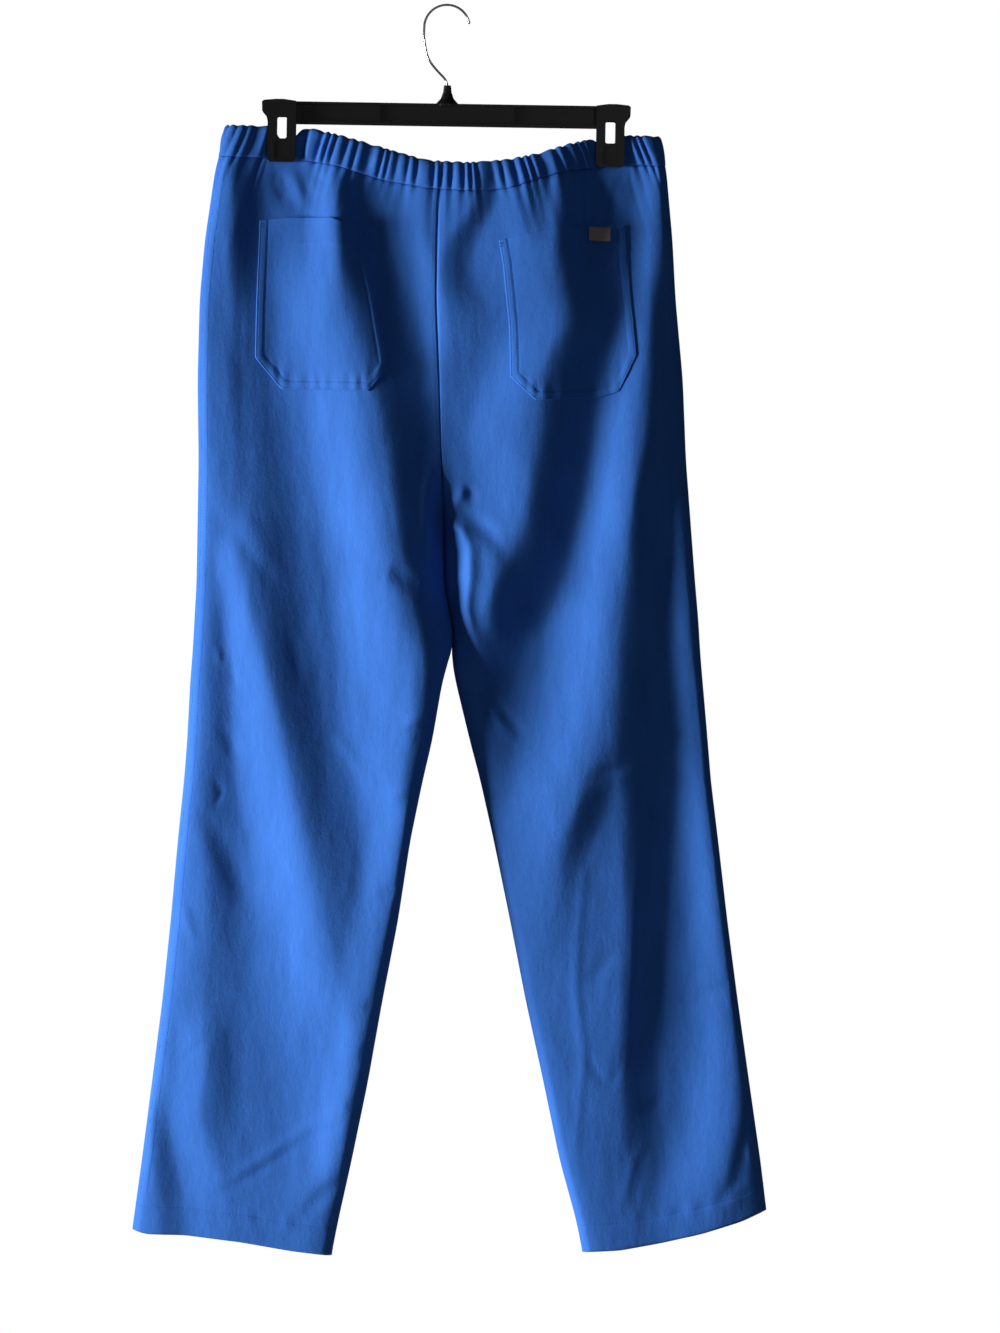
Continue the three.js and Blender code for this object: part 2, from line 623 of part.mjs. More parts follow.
// A plate cut to an outline in x and z, from yNear (towards -Y) to yFar.
function plate(shape, yNear, yFar) {
  const geometry = new THREE.ExtrudeGeometry(shape, { depth: yFar - yNear, bevelEnabled: false });
  geometry.rotateX(Math.PI / 2);
  geometry.translate(0, yFar, 0);
  return geometry;
}

// Pockets and tab, made from the back panel's own points moved out

function patchGeometry(side, outline, gap, cloth) {
  const grid = panelGrid(side, BACK).slice(1, SEAT_ROWS);
  const moved = (distance) =>
    grid.map((line) =>
      line.slice(PATCH_FROM_COLUMN).map((point) => point.clone().add(new THREE.Vector3(0, BACK * distance, 0))),
    );
  const shell = solidOf(wall(moved(gap + cloth), moved(gap), -side * BACK));
  const cutter = solidOf(plate(shapeOf(outline), -CUTTER_REACH, 0));
  return geometryOf(shell.intersect(cutter));
}

// Hanger

const BAR_TILT = 0.9 * (Math.PI / 180);
const BAR_CENTRE = { x: 2, z: -105.6 };
const BAR_LENGTH = 302;
const BAR_HEIGHT = 21.5;
const BAR_DEPTH = 9;
const FLANGE = 2.4;
const WEB = 2.6;
const RIB_X = [-140, -68, 62, 138];
const RIB_WIDTH = 2;
const RIB_INSET = 1;
const BOSS_TOP = 18;
const BOSS_PROFILE = [[0, -2], [11, -2], [11, 0], [6.4, 5], [4.2, 11], [3.4, BOSS_TOP], [0, BOSS_TOP]];
const BOSS_FLATNESS = 0.53;
const BORE_RADIUS = 1.5;
const BORE_DEPTH = 13;
const WIRE_RADIUS = 1.1;
const HOOK_RADIUS = 22;

// The moulded bar: an I section with ribs, and a boss that takes the hook.
function barGeometry() {
  const halfHeight = BAR_HEIGHT / 2;
  const halfDepth = BAR_DEPTH / 2;
  const halfWeb = WEB / 2;
  const section = shapeOf([
    [-halfDepth, -halfHeight], [halfDepth, -halfHeight],
    [halfDepth, -halfHeight + FLANGE], [halfWeb, -halfHeight + FLANGE],
    [halfWeb, halfHeight - FLANGE], [halfDepth, halfHeight - FLANGE],
    [halfDepth, halfHeight], [-halfDepth, halfHeight],
    [-halfDepth, halfHeight - FLANGE], [-halfWeb, halfHeight - FLANGE],
    [-halfWeb, -halfHeight + FLANGE], [-halfDepth, -halfHeight + FLANGE],
  ]);
  const beam = new THREE.ExtrudeGeometry(section, { depth: BAR_LENGTH, bevelEnabled: false });
  beam.translate(0, 0, -BAR_LENGTH / 2);
  beam.rotateX(Math.PI / 2);
  beam.rotateZ(Math.PI / 2);
  let bar = solidOf(beam);
  for (const x of RIB_X) {
    const rib = new THREE.BoxGeometry(RIB_WIDTH, BAR_DEPTH - RIB_INSET, BAR_HEIGHT - RIB_INSET);
    rib.translate(x, 0, 0);
    bar = bar.add(solidOf(rib));
  }
  const profile = BOSS_PROFILE.map(([radius, height]) => new THREE.Vector2(radius, height));
  const boss = new THREE.LatheGeometry(profile, 20);
  boss.rotateX(Math.PI / 2);
  boss.scale(1, BOSS_FLATNESS, 1);
  boss.translate(-BAR_CENTRE.x, 0, halfHeight);
  bar = bar.add(solidOf(boss));
  const bore = new THREE.CylinderGeometry(BORE_RADIUS, BORE_RADIUS, 2 * BORE_DEPTH, 12);
  bore.rotateX(Math.PI / 2);
  bore.translate(-BAR_CENTRE.x, 0, halfHeight + BOSS_TOP);
  return geometryOf(bar.subtract(solidOf(bore)));
}

// The wire hook: up out of the boss, round an open loop and over the rail.
function hookGeometry() {
  const centre = WIRE_RADIUS - HOOK_RADIUS;
  const points = [
    [0, -88], [0, -82], [0, -76], [-2.2, -70.5], [-9.5, -62.5], [-15.5, -55], [-19.3, -47], [-21.3, -37],
    [-22.2, -29],
  ].map(([x, z]) => new THREE.Vector3(x, 0, z));
  const arcSteps = 14;
  for (let step = 0; step <= arcSteps; step++) {
    const angle = mix(180, 9, step / arcSteps) * (Math.PI / 180);
    points.push(
      new THREE.Vector3(HOOK_RADIUS * Math.cos(angle), 0, centre + HOOK_RADIUS * Math.sin(angle)),
    );
  }
  const wire = new THREE.Shape();
  const sides = 8;
  for (let corner = 0; corner < sides; corner++) {
    const angle = (corner * 2 * Math.PI) / sides;
    const x = WIRE_RADIUS * Math.cos(angle);
    const y = WIRE_RADIUS * Math.sin(angle);
    if (corner === 0) wire.moveTo(x, y);
    else wire.lineTo(x, y);
  }
  const path = new THREE.CatmullRomCurve3(points);
  return new THREE.ExtrudeGeometry(wire, { steps: 44, bevelEnabled: false, extrudePath: path });
}

// One jaw of a clip, drawn for the left clip: outward is towards its own end of the bar.
const JAW_HALF = 13.6;
const JAW_BOTTOM = -48.3;
const JAW_NEAR = 9;
const JAW_BACK = 4.9;
const JAW_OUTLINE = [
  { away: -JAW_HALF, up: -45.8 },
  { away: -JAW_HALF, up: 10.9 },
  { away: -2, up: 12.5 },
  { away: 6, up: 12.5 },
  { away: 17.4, up: 11.4 },
  { away: 19.4, up: 9.8 },
  { away: 19.1, up: 1.2 },
  { away: 14.8, up: -4.1 },
  { away: JAW_HALF, up: -9.8 },
  { away: JAW_HALF, up: -45.8 },
  { away: 11.1, up: JAW_BOTTOM },
  { away: -11.1, up: JAW_BOTTOM },
];
const PAD_FACE = PINCHED_Y + 0.45;
const PAD = { half: 12.6, top: -26.2, bottom: -45.3, corner: 1 };
const WINDOW = { half: 4.8, top: -3.8, bottom: -25.6, corner: 1.2 };
const RECESS = { half: 7.2, top: -28.5, bottom: -46, corner: 0.8, depth: 1.4 };

// Where the jaws sit on the bar. The cloth is pressed flat a little wider than this.
const JAWS_LEFT_X = -159.4;
const JAWS_RIGHT_X = 158.2;

// A rectangle around the jaw's middle with its corners cut.
function cutCorners({ half, top, bottom, corner }) {
  return shapeOf([
    [corner - half, bottom], [half - corner, bottom], [half, bottom + corner], [half, top - corner],
    [half - corner, top], [corner - half, top], [-half, top - corner], [-half, bottom + corner],
  ]);
}

function jawGeometry(end, face) {
  const outline = JAW_OUTLINE.map(({ away, up }) => [end * away, up]);
  if (end < 0) outline.reverse();
  let jaw = solidOf(plate(shapeOf(outline), -JAW_NEAR, -JAW_BACK));
  const pad = plate(cutCorners(PAD), -JAW_BACK - 0.5, -PAD_FACE);
  jaw = jaw.add(solidOf(pad));
  jaw = jaw.subtract(solidOf(plate(cutCorners(WINDOW), -JAW_NEAR - 1, -JAW_BACK + 1)));
  const recess = plate(cutCorners(RECESS), -JAW_NEAR - 1, -JAW_NEAR + RECESS.depth);
  jaw = jaw.subtract(solidOf(recess));
  const geometry = geometryOf(jaw);
  if (face === FRONT) geometry.rotateZ(Math.PI);
  return geometry;
}

// The scene graph

const part = new THREE.Group();

function addPiece(name, geometry, material, parent = part) {
  geometry.computeVertexNormals();
  const mesh = new THREE.Mesh(geometry, material);
  mesh.name = name;
  parent.add(mesh);
  return mesh;
}

for (const [sideName, side] of [["left", LEFT], ["right", RIGHT]]) {
  addPiece(`back_${sideName}`, panelGeometry(side, BACK), clothMaterial());
  addPiece(`front_${sideName}`, panelGeometry(side, FRONT), clothMaterial());
  addPiece(`waistband_${sideName}`, casingGeometry(side), casingMaterial());
}

addPiece("pocket_left", patchGeometry(LEFT, POCKET_LEFT, POCKET_GAP, POCKET_CLOTH), clothMaterial());
addPiece("pocket_right", patchGeometry(RIGHT, POCKET_RIGHT, POCKET_GAP, POCKET_CLOTH), clothMaterial());
const tabGap = POCKET_GAP + POCKET_CLOTH + POCKET_GAP;
addPiece("pocket_tab", patchGeometry(RIGHT, POCKET_TAB, tabGap, TAB_CLOTH), tabMaterial());

const hanger = new THREE.Group();
hanger.position.set(BAR_CENTRE.x, 0, BAR_CENTRE.z);
hanger.rotation.y = BAR_TILT;
part.add(hanger);
addPiece("hanger_bar", barGeometry(), plasticMaterial(), hanger);
addPiece("hanger_hook", hookGeometry(), chromeMaterial());
for (const [clipName, end, jawsX] of [["left", LEFT, JAWS_LEFT_X], ["right", RIGHT, JAWS_RIGHT_X]]) {
  for (const [jawName, face] of [["rear", BACK], ["front", FRONT]]) {
    const turnedEnd = face === FRONT ? -end : end;
    const jaw = addPiece(`clip_${clipName}_${jawName}`, jawGeometry(turnedEnd, face), plasticMaterial(), hanger);
    jaw.position.x = jawsX - BAR_CENTRE.x;
  }
}

export default part;
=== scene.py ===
# %% [markdown]
# A pair of scrub trousers hangs by its waist from a clip hanger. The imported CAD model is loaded
# first and stays a fixed frame. Each piece of cloth made below stands for one of its solids and is
# drawn from nearly the same sizes, so it lies where the solid lies.

import math

import bpy
import numpy as np
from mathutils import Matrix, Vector


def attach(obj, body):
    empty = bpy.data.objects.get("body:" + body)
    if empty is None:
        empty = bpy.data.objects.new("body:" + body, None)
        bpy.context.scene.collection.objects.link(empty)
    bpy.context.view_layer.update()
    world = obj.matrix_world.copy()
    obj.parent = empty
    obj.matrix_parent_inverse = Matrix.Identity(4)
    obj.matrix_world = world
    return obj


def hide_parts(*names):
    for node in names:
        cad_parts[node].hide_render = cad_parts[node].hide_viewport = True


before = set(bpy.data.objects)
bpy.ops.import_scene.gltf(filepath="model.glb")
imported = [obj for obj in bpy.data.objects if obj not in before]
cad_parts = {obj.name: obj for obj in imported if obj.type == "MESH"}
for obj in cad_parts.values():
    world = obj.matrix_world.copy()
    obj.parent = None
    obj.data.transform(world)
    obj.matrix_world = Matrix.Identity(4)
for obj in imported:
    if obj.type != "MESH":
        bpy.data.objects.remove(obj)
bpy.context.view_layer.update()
MM = 0.001

# %% [markdown]
# Trousers are a long tube that splits into two. Cut level at any height, they show a flat oval,
# and below the crotch two of them. A few rows of listed sizes therefore say everything: where
# the side seams and inseams lie at a height, and how far the cloth stands out behind and in front.
# Reading between the rows is rounded a little, because cloth has no corners there.

# %% Sizes of the trousers
LEFT = -1
RIGHT = 1
BACK = -1
FRONT = 1

BODY_NAMES = ("left_side", "left_inner", "right_inner", "right_side", "back", "front", "turn")
BODY_ROWS = [
    (-110, -211, -6, -6, 201, 9, 8, 0),
    (-140, -219, -6, -6, 208, 12, 10, 0),
    (-157, -224, -6, -6, 212, 14, 12, 0),
    (-192, -229, -8, -8, 215, 18, 16, 0),
    (-226, -234, -9, -9, 218, 23, 20, 0),
    (-284, -239, -10, -10, 221, 28, 25, 0),
    (-362, -241, -7, -7, 228, 33, 29, 0),
    (-439, -240, -5, -5, 231, 34, 30, 0),
    (-507, -241, -3, -3, 236, 33, 30, 0),
    (-560, -242, -3.2, -2.8, 240, 31, 29, 6),
    (-594, -244, 3.4, 3.8, 243, 30, 28, 11),
    (-612, -245, 6, 6.4, 244, 29, 28, 13),
    (-629, -246, 3, 4.2, 245, 29, 28, 16),
    (-652, -248, -4, 8, 247, 28, 27, 19),
    (-710, -251, -14, 22, 252, 27, 26, 25),
    (-748, -254, -23, 32, 255, 26, 25, 28),
    (-806, -260, -35, 45, 262, 25, 24, 31),
    (-884, -267, -47, 61, 271, 23, 22, 33),
    (-961, -275, -62, 76, 281, 22, 21, 32),
    (-1039, -285, -76, 93, 292, 20, 19, 27),
    (-1116, -295, -92, 109, 303, 19, 18, 21),
    (-1174, -303, -105, 125, 310, 18, 17, 17),
    (-1210, -308, -112, 132, 316, 18, 17, 16),
]
CASING_ROWS = [
    (-225, -116, -146),
    (-180, -117, -147),
    (-172, -118, -147),
    (-167, -129, -147.5),
    (-152, -129, -149),
    (-146, -119.5, -149.5),
    (-137, -119.5, -150),
    (-105, -127, -156),
    (-63, -139, -169),
    (-20, -151, -177),
    (20, -153, -180),
    (60, -150, -178),
    (90, -144, -168),
    (120, -135, -160),
    (145, -129, -157),
    (151, -135, -156.5),
    (167, -135, -155),
    (173, -126, -154),
    (215, -127, -156),
]
HEM_ROWS = [
    (-306, -1181),
    (-292, -1186),
    (-253, -1187),
    (-200, -1193),
    (-152, -1201),
    (-111, -1206),
    (131, -1204),
    (167, -1202),
    (206, -1195),
    (245, -1186),
    (284, -1174),
    (311, -1162),
]
CROTCH_Z = -507
WAIST_Z = -165
HEM_Z = -1190


def mix(start, end, share):
    return start + (end - start) * share


def ramp(start, end, value):
    """A soft step from 0 at start to 1 at end."""
    share = np.clip((value - start) / (end - start), 0, 1)
    return share * share * (3 - 2 * share)


def reader(rows, names, soften):
    """A function that reads named columns of a table by its first column, with softened corners."""
    columns = np.array(sorted(rows), float).T
    shifts = np.linspace(-soften, soften, 7)

    def read(at):
        result = {}
        for name, column in zip(names, columns[1:]):
            result[name] = sum(np.interp(at + shift, columns[0], column) for shift in shifts) / len(shifts)
        return result

    return read


read_body = reader(BODY_ROWS, BODY_NAMES, 12)
read_casing = reader(CASING_ROWS, ("top", "low"), 3)
read_hem = reader(HEM_ROWS, ("z",), 6)
print("crotch", CROTCH_Z, "mm and hem", HEM_Z, "mm below the hook")

# %% [markdown]
# Hung cloth folds in long soft strips. Light from one side shows a strip that faces it as a bright
# band and one that turns away as a dark band, so each fold is written down as such a sloping strip:
# its middle, how much the cloth rises across it, and half its width, at a few heights. Adding up
# the strips gives the whole relief, and a gentle tilt between the seams brings it back to their
# level. Only the back's folds are known, so the front gets the same family, mirrored and weaker.

# %% Folds
FOLD_STRIPS = [
    [(-165, -216, -5, 16), (-200, -218, -8, 18), (-240, -219, -10, 20), (-304, -219, -12, 22),
     (-360, -219, -11, 22), (-420, -218, -9, 22), (-480, -218, -4, 20), (-530, -222, 0, 16)],
    [(-165, -190, -12, 20), (-240, -190, -13, 22), (-304, -186, -12, 26), (-360, -186, -14, 30),
     (-420, -176, -12, 30), (-480, -170, -9, 30), (-540, -162, -8, 26), (-613, -155, -8, 26),
     (-690, -138, -8, 26), (-768, -120, -7, 26), (-840, -100, -5, 24), (-930, -90, 0, 24)],
    [(-175, -208, 2, 14), (-240, -215, 0, 20), (-320, -216, -3, 20), (-400, -214, -6, 24),
     (-470, -212, -6, 24), (-530, -226, -5, 18), (-600, -223, -6, 16), (-660, -222, -5, 18),
     (-720, -224, -6, 20), (-780, -222, -8, 24), (-850, -214, -8, 20), (-910, -212, -7, 26),
     (-960, -212, -6, 28), (-1020, -214, -5, 20), (-1080, -214, -3, 26), (-1140, -200, 0, 26)],
    [(-165, -128, 2, 14), (-200, -130, 3, 16), (-240, -146, 8, 24), (-304, -130, 12, 30),
     (-381, -112, 15, 32), (-458, -98, 20, 34), (-536, -84, 24, 36), (-613, -72, 27, 40),
     (-690, -68, 26, 42), (-740, -70, 20, 30), (-790, -58, 16, 28), (-845, -60, 10, 26),
     (-900, -66, 4, 30), (-960, -80, 0, 42)],
    [(-165, -94, -25, 24), (-200, -92, -28, 28), (-240, -84, -27, 34), (-304, -62, -20, 36),
     (-360, -46, -20, 34), (-420, -34, -20, 32), (-470, -28, -19, 28), (-536, -20, -15, 24),
     (-600, -12, -8, 18), (-650, -8, -3, 14), (-700, -8, 0, 14)],
    [(-170, -38, 4, 10), (-200, -37, 5, 12), (-226, -34, 5, 16), (-270, -18, 5, 16),
     (-304, -12, 5, 16), (-342, -7, 2, 14), (-390, -5, 0, 14)],
    [(-165, 34, -6, 12), (-200, 36, -7, 12), (-226, 12, -8, 18), (-265, 8, -8, 18),
     (-304, 26, -5, 30), (-360, 8, -3, 20), (-400, 10, 0, 20)],
    [(-200, 55, 3, 14), (-240, 60, 3, 30), (-304, 84, 5, 26), (-342, 68, 8, 28), (-381, 52, 9, 28),
     (-420, 42, 10, 28), (-458, 52, 9, 30), (-497, 60, 6, 26), (-540, 66, 0, 28)],
    [(-165, 88, -4, 14), (-200, 84, -5, 14), (-226, 90, 0, 14)],
    [(-165, 145, -12, 16), (-200, 145, -16, 22), (-240, 146, -20, 34), (-304, 142, -21, 30),
     (-360, 120, -22, 34), (-420, 114, -20, 32), (-458, 108, -19, 32), (-536, 90, -19, 34),
     (-574, 70, -18, 34), (-613, 58, -15, 30), (-652, 42, -10, 22), (-690, 46, -5, 26),
     (-720, 50, -3, 24), (-750, 48, 0, 24)],
    [(-165, 180, 3, 14), (-240, 183, 4, 14), (-304, 178, 6, 18), (-360, 170, 10, 22),
     (-420, 160, 14, 26), (-480, 154, 16, 28), (-540, 142, 16, 32), (-574, 132, 17, 32),
     (-613, 124, 20, 36), (-690, 112, 20, 40), (-768, 88, 14, 42), (-845, 72, 6, 38),
     (-940, 60, 0, 38)],
    [(-165, 203, -6, 12), (-240, 208, -6, 14), (-304, 210, -8, 16), (-360, 212, -10, 20),
     (-420, 208, -12, 20), (-480, 196, -13, 22), (-540, 196, -14, 24), (-613, 191, -15, 30),
     (-690, 189, -19, 34), (-768, 194, -17, 30), (-845, 193, -15, 26), (-922, 190, -14, 24),
     (-1020, 186, -11, 22), (-1077, 189, -8, 22), (-1150, 188, 0, 26)],
    [(-440, 220, 0, 14), (-480, 220, 6, 14), (-540, 223, 8, 16), (-613, 227, 9, 18),
     (-690, 238, 12, 22), (-768, 241, 16, 24), (-845, 247, 18, 28), (-922, 255, 20, 32),
     (-1000, 258, 24, 36), (-1077, 252, 24, 38), (-1130, 238, 18, 36), (-1190, 230, 7, 34)],
    [(-500, -214, 4, 14), (-536, -212, 8, 16), (-613, -198, 13, 20), (-690, -184, 17, 26),
     (-768, -172, 22, 30), (-845, -157, 24, 32), (-922, -142, 24, 38), (-1000, -122, 24, 42),
     (-1077, -126, 17, 34), (-1116, -129, 10, 34), (-1160, -145, 3, 30)],
    [(-960, -248, 0, 18), (-1000, -246, 6, 14), (-1030, -246, 7, 18), (-1077, -252, 9, 18),
     (-1130, -235, 8, 24), (-1180, -228, 4, 24)],
    [(-1040, -284, 0, 12), (-1077, -280, -5, 12), (-1130, -270, -8, 16), (-1175, -267, -5, 16)],
    [(-700, 172, 0, 18), (-750, 146, -6, 18), (-780, 137, -9, 18), (-820, 121, -5, 18),
     (-884, 121, 0, 18)],
    [(-590, -30, 0, 14), (-640, -30, 5, 16), (-690, -36, 5, 18), (-748, -47, 5, 20),
     (-806, -58, 5, 20), (-884, -74, 5, 24), (-961, -88, 8, 20), (-1039, -102, 8, 18),
     (-1116, -118, 6, 18), (-1170, -130, 0, 16)],
    [(-900, 125, 0, 34), (-960, 135, 6, 36), (-1020, 138, 4, 34), (-1080, 142, 4, 34),
     (-1150, 150, 0, 30)],
    [(-540, 12, 0, 10), (-600, 20, -6, 14), (-650, 21, -5, 14), (-700, 32, -2, 14), (-740, 42, 0, 14)],
    [(-500, 10, 0, 8), (-520, 15, 7, 9), (-560, 15, 9, 9), (-590, 12, 8, 9), (-620, 24, 6, 10),
     (-650, 32, 0, 10)],
]
FOLDS_START = -145
FOLDS_FULL = -180
MIRROR_X = -4
FRONT_SHARE = 0.75
LEGS_FROM = 78

fold_readers = [reader(strip, ("x", "step", "half"), 16) for strip in FOLD_STRIPS]


def fold_rise(x, z):
    """The rise of all the strips together, from far left to x."""
    rise = 0
    for read_strip in fold_readers:
        strip = read_strip(z)
        rise = rise + strip["step"] * ramp(strip["x"] - strip["half"], strip["x"] + strip["half"], x)
    return rise * ramp(FOLDS_START, FOLDS_FULL, z)


def leg_share(z):
    """0 over the seat, where both halves share one oval, and 1 where each leg has its own."""
    return ramp(CROTCH_Z + LEGS_FROM, CROTCH_Z, z)


def side_edges(row, side):
    """Where one half's side seam lies, and its centre seam or inseam."""
    if side == LEFT:
        return row["left_side"], row["left_inner"]
    return row["right_side"], row["right_inner"]


def fold_height(x, z, row, side):
    """How far the folds lift the cloth, level with the seams on both sides."""
    here = fold_rise(x, z)

    def levelled(start, end):
        start_rise = fold_rise(start, z)
        return here - mix(start_rise, fold_rise(end, z), (x - start) / (end - start))

    outer, inner = side_edges(row, side)
    seat = levelled(row["left_side"], row["right_side"])
    return mix(seat, levelled(outer, inner), leg_share(z))


def mirrored_row(row):
    pairs = {"left_side": "right_side", "left_inner": "right_inner"}
    result = dict(row)
    for left_name, right_name in pairs.items():
        result[left_name] = 2 * MIRROR_X - row[right_name]
        result[right_name] = 2 * MIRROR_X - row[left_name]
    return result


print(len(FOLD_STRIPS), "fold strips")

# %% [markdown]
# Between the big folds lie small creases, where the cloth was pressed, sat in or pulled by a seam.
# They are few and uneven, so they are placed one by one: a short path and the kind of mark. A ridge
# stands out, a tuck goes in, and a lip rises sharply on one side and fades on the other. All are
# drawn as soft profiles across the path that fade towards its ends.

# %% Creases
CREASES = [
    ("tuck", 1.2, 9, [(-226, -487), (-203, -513), (-174, -548), (-166, -567)]),
    ("ridge", 0.7, 6, [(-195, -560), (-191, -589), (-189, -618)]),
    ("ridge", 1.0, 3.2, [(-223, -619), (-218, -633), (-207, -640)]),
    ("tuck", 0.8, 4, [(-212, -638), (-206, -646), (-202, -661)]),
    ("tuck", 1.0, 6, [(-218, -697), (-208, -712), (-204, -727)]),
    ("tuck", 1.2, 3, [(-226, -747), (-217, -759), (-223, -771)]),
    ("tuck", 1.5, 11, [(-239, -775), (-220, -806), (-200, -848), (-183, -877)]),
    ("tuck", 0.7, 5, [(-152, -601), (-146, -628), (-142, -657)]),
    ("ridge", 0.9, 5, [(-110, -700), (-94, -721), (-81, -742)]),
    ("ridge", 1.4, 4, [(-43, -694), (-26, -688), (-12, -684)]),
    ("tuck", 1.2, 4, [(-40, -701), (-25, -697), (-14, -692)]),
    ("tuck", 1.0, 4, [(-32, -709), (-16, -701)]),
    ("ridge", 0.9, 3.6, [(-57, -761), (-41, -758), (-24, -754)]),
    ("tuck", 0.9, 4, [(-48, -767), (-21, -761)]),
    ("tuck", 1.4, 6, [(-67, -859), (-50, -854), (-38, -849)]),
    ("ridge", 1.0, 5, [(-255, -869), (-250, -886), (-242, -903)]),
    ("tuck", 0.6, 2.8, [(-255, -1016), (-241, -1007), (-226, -998)]),
    ("ridge", 1.0, 5, [(-232, -1142), (-203, -1128), (-164, -1103), (-135, -1084), (-91, -1061)]),
    ("tuck", 0.7, 4, [(-227, -1149), (-199, -1136), (-161, -1112), (-134, -1093)]),
    ("tuck", 2.0, 8, [(-139, -1167), (-120, -1148), (-94, -1128)]),
    ("tuck", 1.2, 5, [(-80, -967), (-67, -961)]),
    ("tuck", 1.2, 5, [(-86, -1010), (-70, -1007)]),
    ("tuck", 1.2, 5, [(-98, -1063), (-80, -1055)]),
    ("tuck", 1.6, 5, [(9, -645), (22, -657), (33, -669)]),
    ("tuck", 1.2, 5, [(25, -661), (35, -677), (43, -692)]),
    ("tuck", 1.4, 5, [(35, -659), (56, -684), (77, -710)]),
    ("ridge", 0.8, 5, [(30, -665), (48, -689), (63, -708)]),
    ("tuck", 1.4, 3.6, [(33, -763), (61, -762), (87, -760)]),
    ("tuck", 1.0, 5, [(132, -745), (162, -737), (193, -726)]),
    ("ridge", 0.7, 5, [(134, -753), (164, -746), (194, -736)]),
    ("tuck", 1.0, 4.5, [(214, -708), (236, -699)]),
    ("ridge", 0.8, 5, [(148, -804), (132, -842), (126, -896), (124, -954), (132, -1012), (126, -1084),
                       (122, -1121)]),
    ("lip", 1.8, 16, [(187, -813), (182, -858), (180, -910), (177, -974), (174, -1024)]),
    ("tuck", 1.0, 7, [(136, -945), (148, -929), (164, -913)]),
    ("ridge", 0.5, 4, [(100, -1012), (114, -1013), (131, -1012)]),
    ("tuck", 0.7, 4, [(135, -1015), (145, -1031), (155, -1045)]),
    ("tuck", 0.7, 4, [(155, -1045), (161, -1036), (168, -1025)]),
    ("tuck", 1.0, 6, [(184, -1070), (198, -1062), (214, -1048)]),
    ("ridge", 0.7, 5, [(167, -1167), (180, -1116), (193, -1094)]),
    ("tuck", 1.0, 6, [(238, -961), (259, -951), (283, -942)]),
    ("ridge", 0.9, 5, [(269, -959), (285, -969)]),
    ("tuck", 1.6, 8, [(296, -1051), (288, -1094), (280, -1132), (257, -1164)]),
    ("ridge", 0.9, 4, [(290, -1097), (293, -1116)]),
    ("ridge", 5.5, 9, [(2, -498), (13, -508), (21, -528), (21, -556), (17, -583), (23, -607),
                       (36, -630)]),
    ("ridge", 2.4, 4, [(-1, -507), (5, -502), (13, -507), (19, -518)]),
    ("ridge", 5.0, 18, [(40, -505), (42, -545), (38, -585), (46, -618)]),
    ("ridge", 3.0, 6, [(3, -486), (12, -475), (18, -464)]),
    ("tuck", 1.8, 5, [(18, -462), (24, -474), (25, -486)]),
    ("tuck", 3.5, 8, [(8, -486), (24, -497), (40, -510), (54, -527)]),
    ("ridge", 5.0, 10, [(-12, -440), (-17, -472), (-17, -505), (-9, -545)]),
    ("tuck", 3.0, 7, [(-4, -470), (-6, -500), (-5, -530)]),
    ("tuck", 3.5, 10, [(-24, -560), (-40, -553), (-56, -548)]),
    ("lip", 5.0, 14, [(131, -157), (131, -180), (129, -212), (127, -232)]),
    ("tuck", 2.0, 7, [(-166, -158), (-160, -176), (-154, -192)]),
    ("ridge", 1.6, 6, [(-150, -160), (-142, -180), (-136, -198)]),
    ("tuck", 1.4, 6, [(-128, -158), (-118, -176)]),
    ("tuck", 2.0, 7, [(148, -168), (156, -186), (160, -204)]),
    ("ridge", 1.4, 6, [(160, -166), (152, -186), (144, -206)]),
]
LIP_SHARP = 2.2


def crease_height(x, z, creases):
    """The height of all small creases at points given as arrays of x and z."""
    height = np.zeros(np.broadcast(x, z).shape)
    for kind, size, width, path in creases:
        reach = 3 * width
        xs, zs = np.array(path, float).T
        near_across = (x > xs.min() - reach) & (x < xs.max() + reach)
        near = near_across & (z > zs.min() - reach) & (z < zs.max() + reach)
        if not near.any():
            continue
        px, pz = x[near], z[near]
        lengths = np.hypot(np.diff(xs), np.diff(zs))
        total = lengths.sum()
        passed = 0
        best = np.full(px.shape, np.inf)
        place = np.zeros(px.shape)
        aside = np.zeros(px.shape)
        for index, length in enumerate(lengths):
            along_x = (xs[index + 1] - xs[index]) / length
            along_z = (zs[index + 1] - zs[index]) / length
            off_x, off_z = px - xs[index], pz - zs[index]
            walked = np.clip(off_x * along_x + off_z * along_z, 0, length)
            distance = np.hypot(off_x - walked * along_x, off_z - walked * along_z)
            closer = distance < best
            best = np.where(closer, distance, best)
            place = np.where(closer, (passed + walked) / total, place)
            aside = np.where(closer, off_z * along_x - off_x * along_z, aside)
            passed += length
        ends = np.sin(np.pi * np.clip(place, 0.02, 0.98)) ** 0.7
        if kind == "lip":
            profile = np.where(aside < 0, np.exp(-best / width), np.exp(-((best / LIP_SHARP) ** 2)))
        else:
            profile = np.exp(-((best / width) ** 2))
        sign = -1 if kind == "tuck" else 1
        height[near] += sign * size * profile * ends
    return height


print(len(CREASES), "small creases")

# %% [markdown]
# The outer face of the cloth can now be asked for its depth anywhere. The clips press it flat at
# two places of the waist, and from there it opens out again, which is what makes the first folds.
# Close to a seam every fold fades, because two layers meet there.

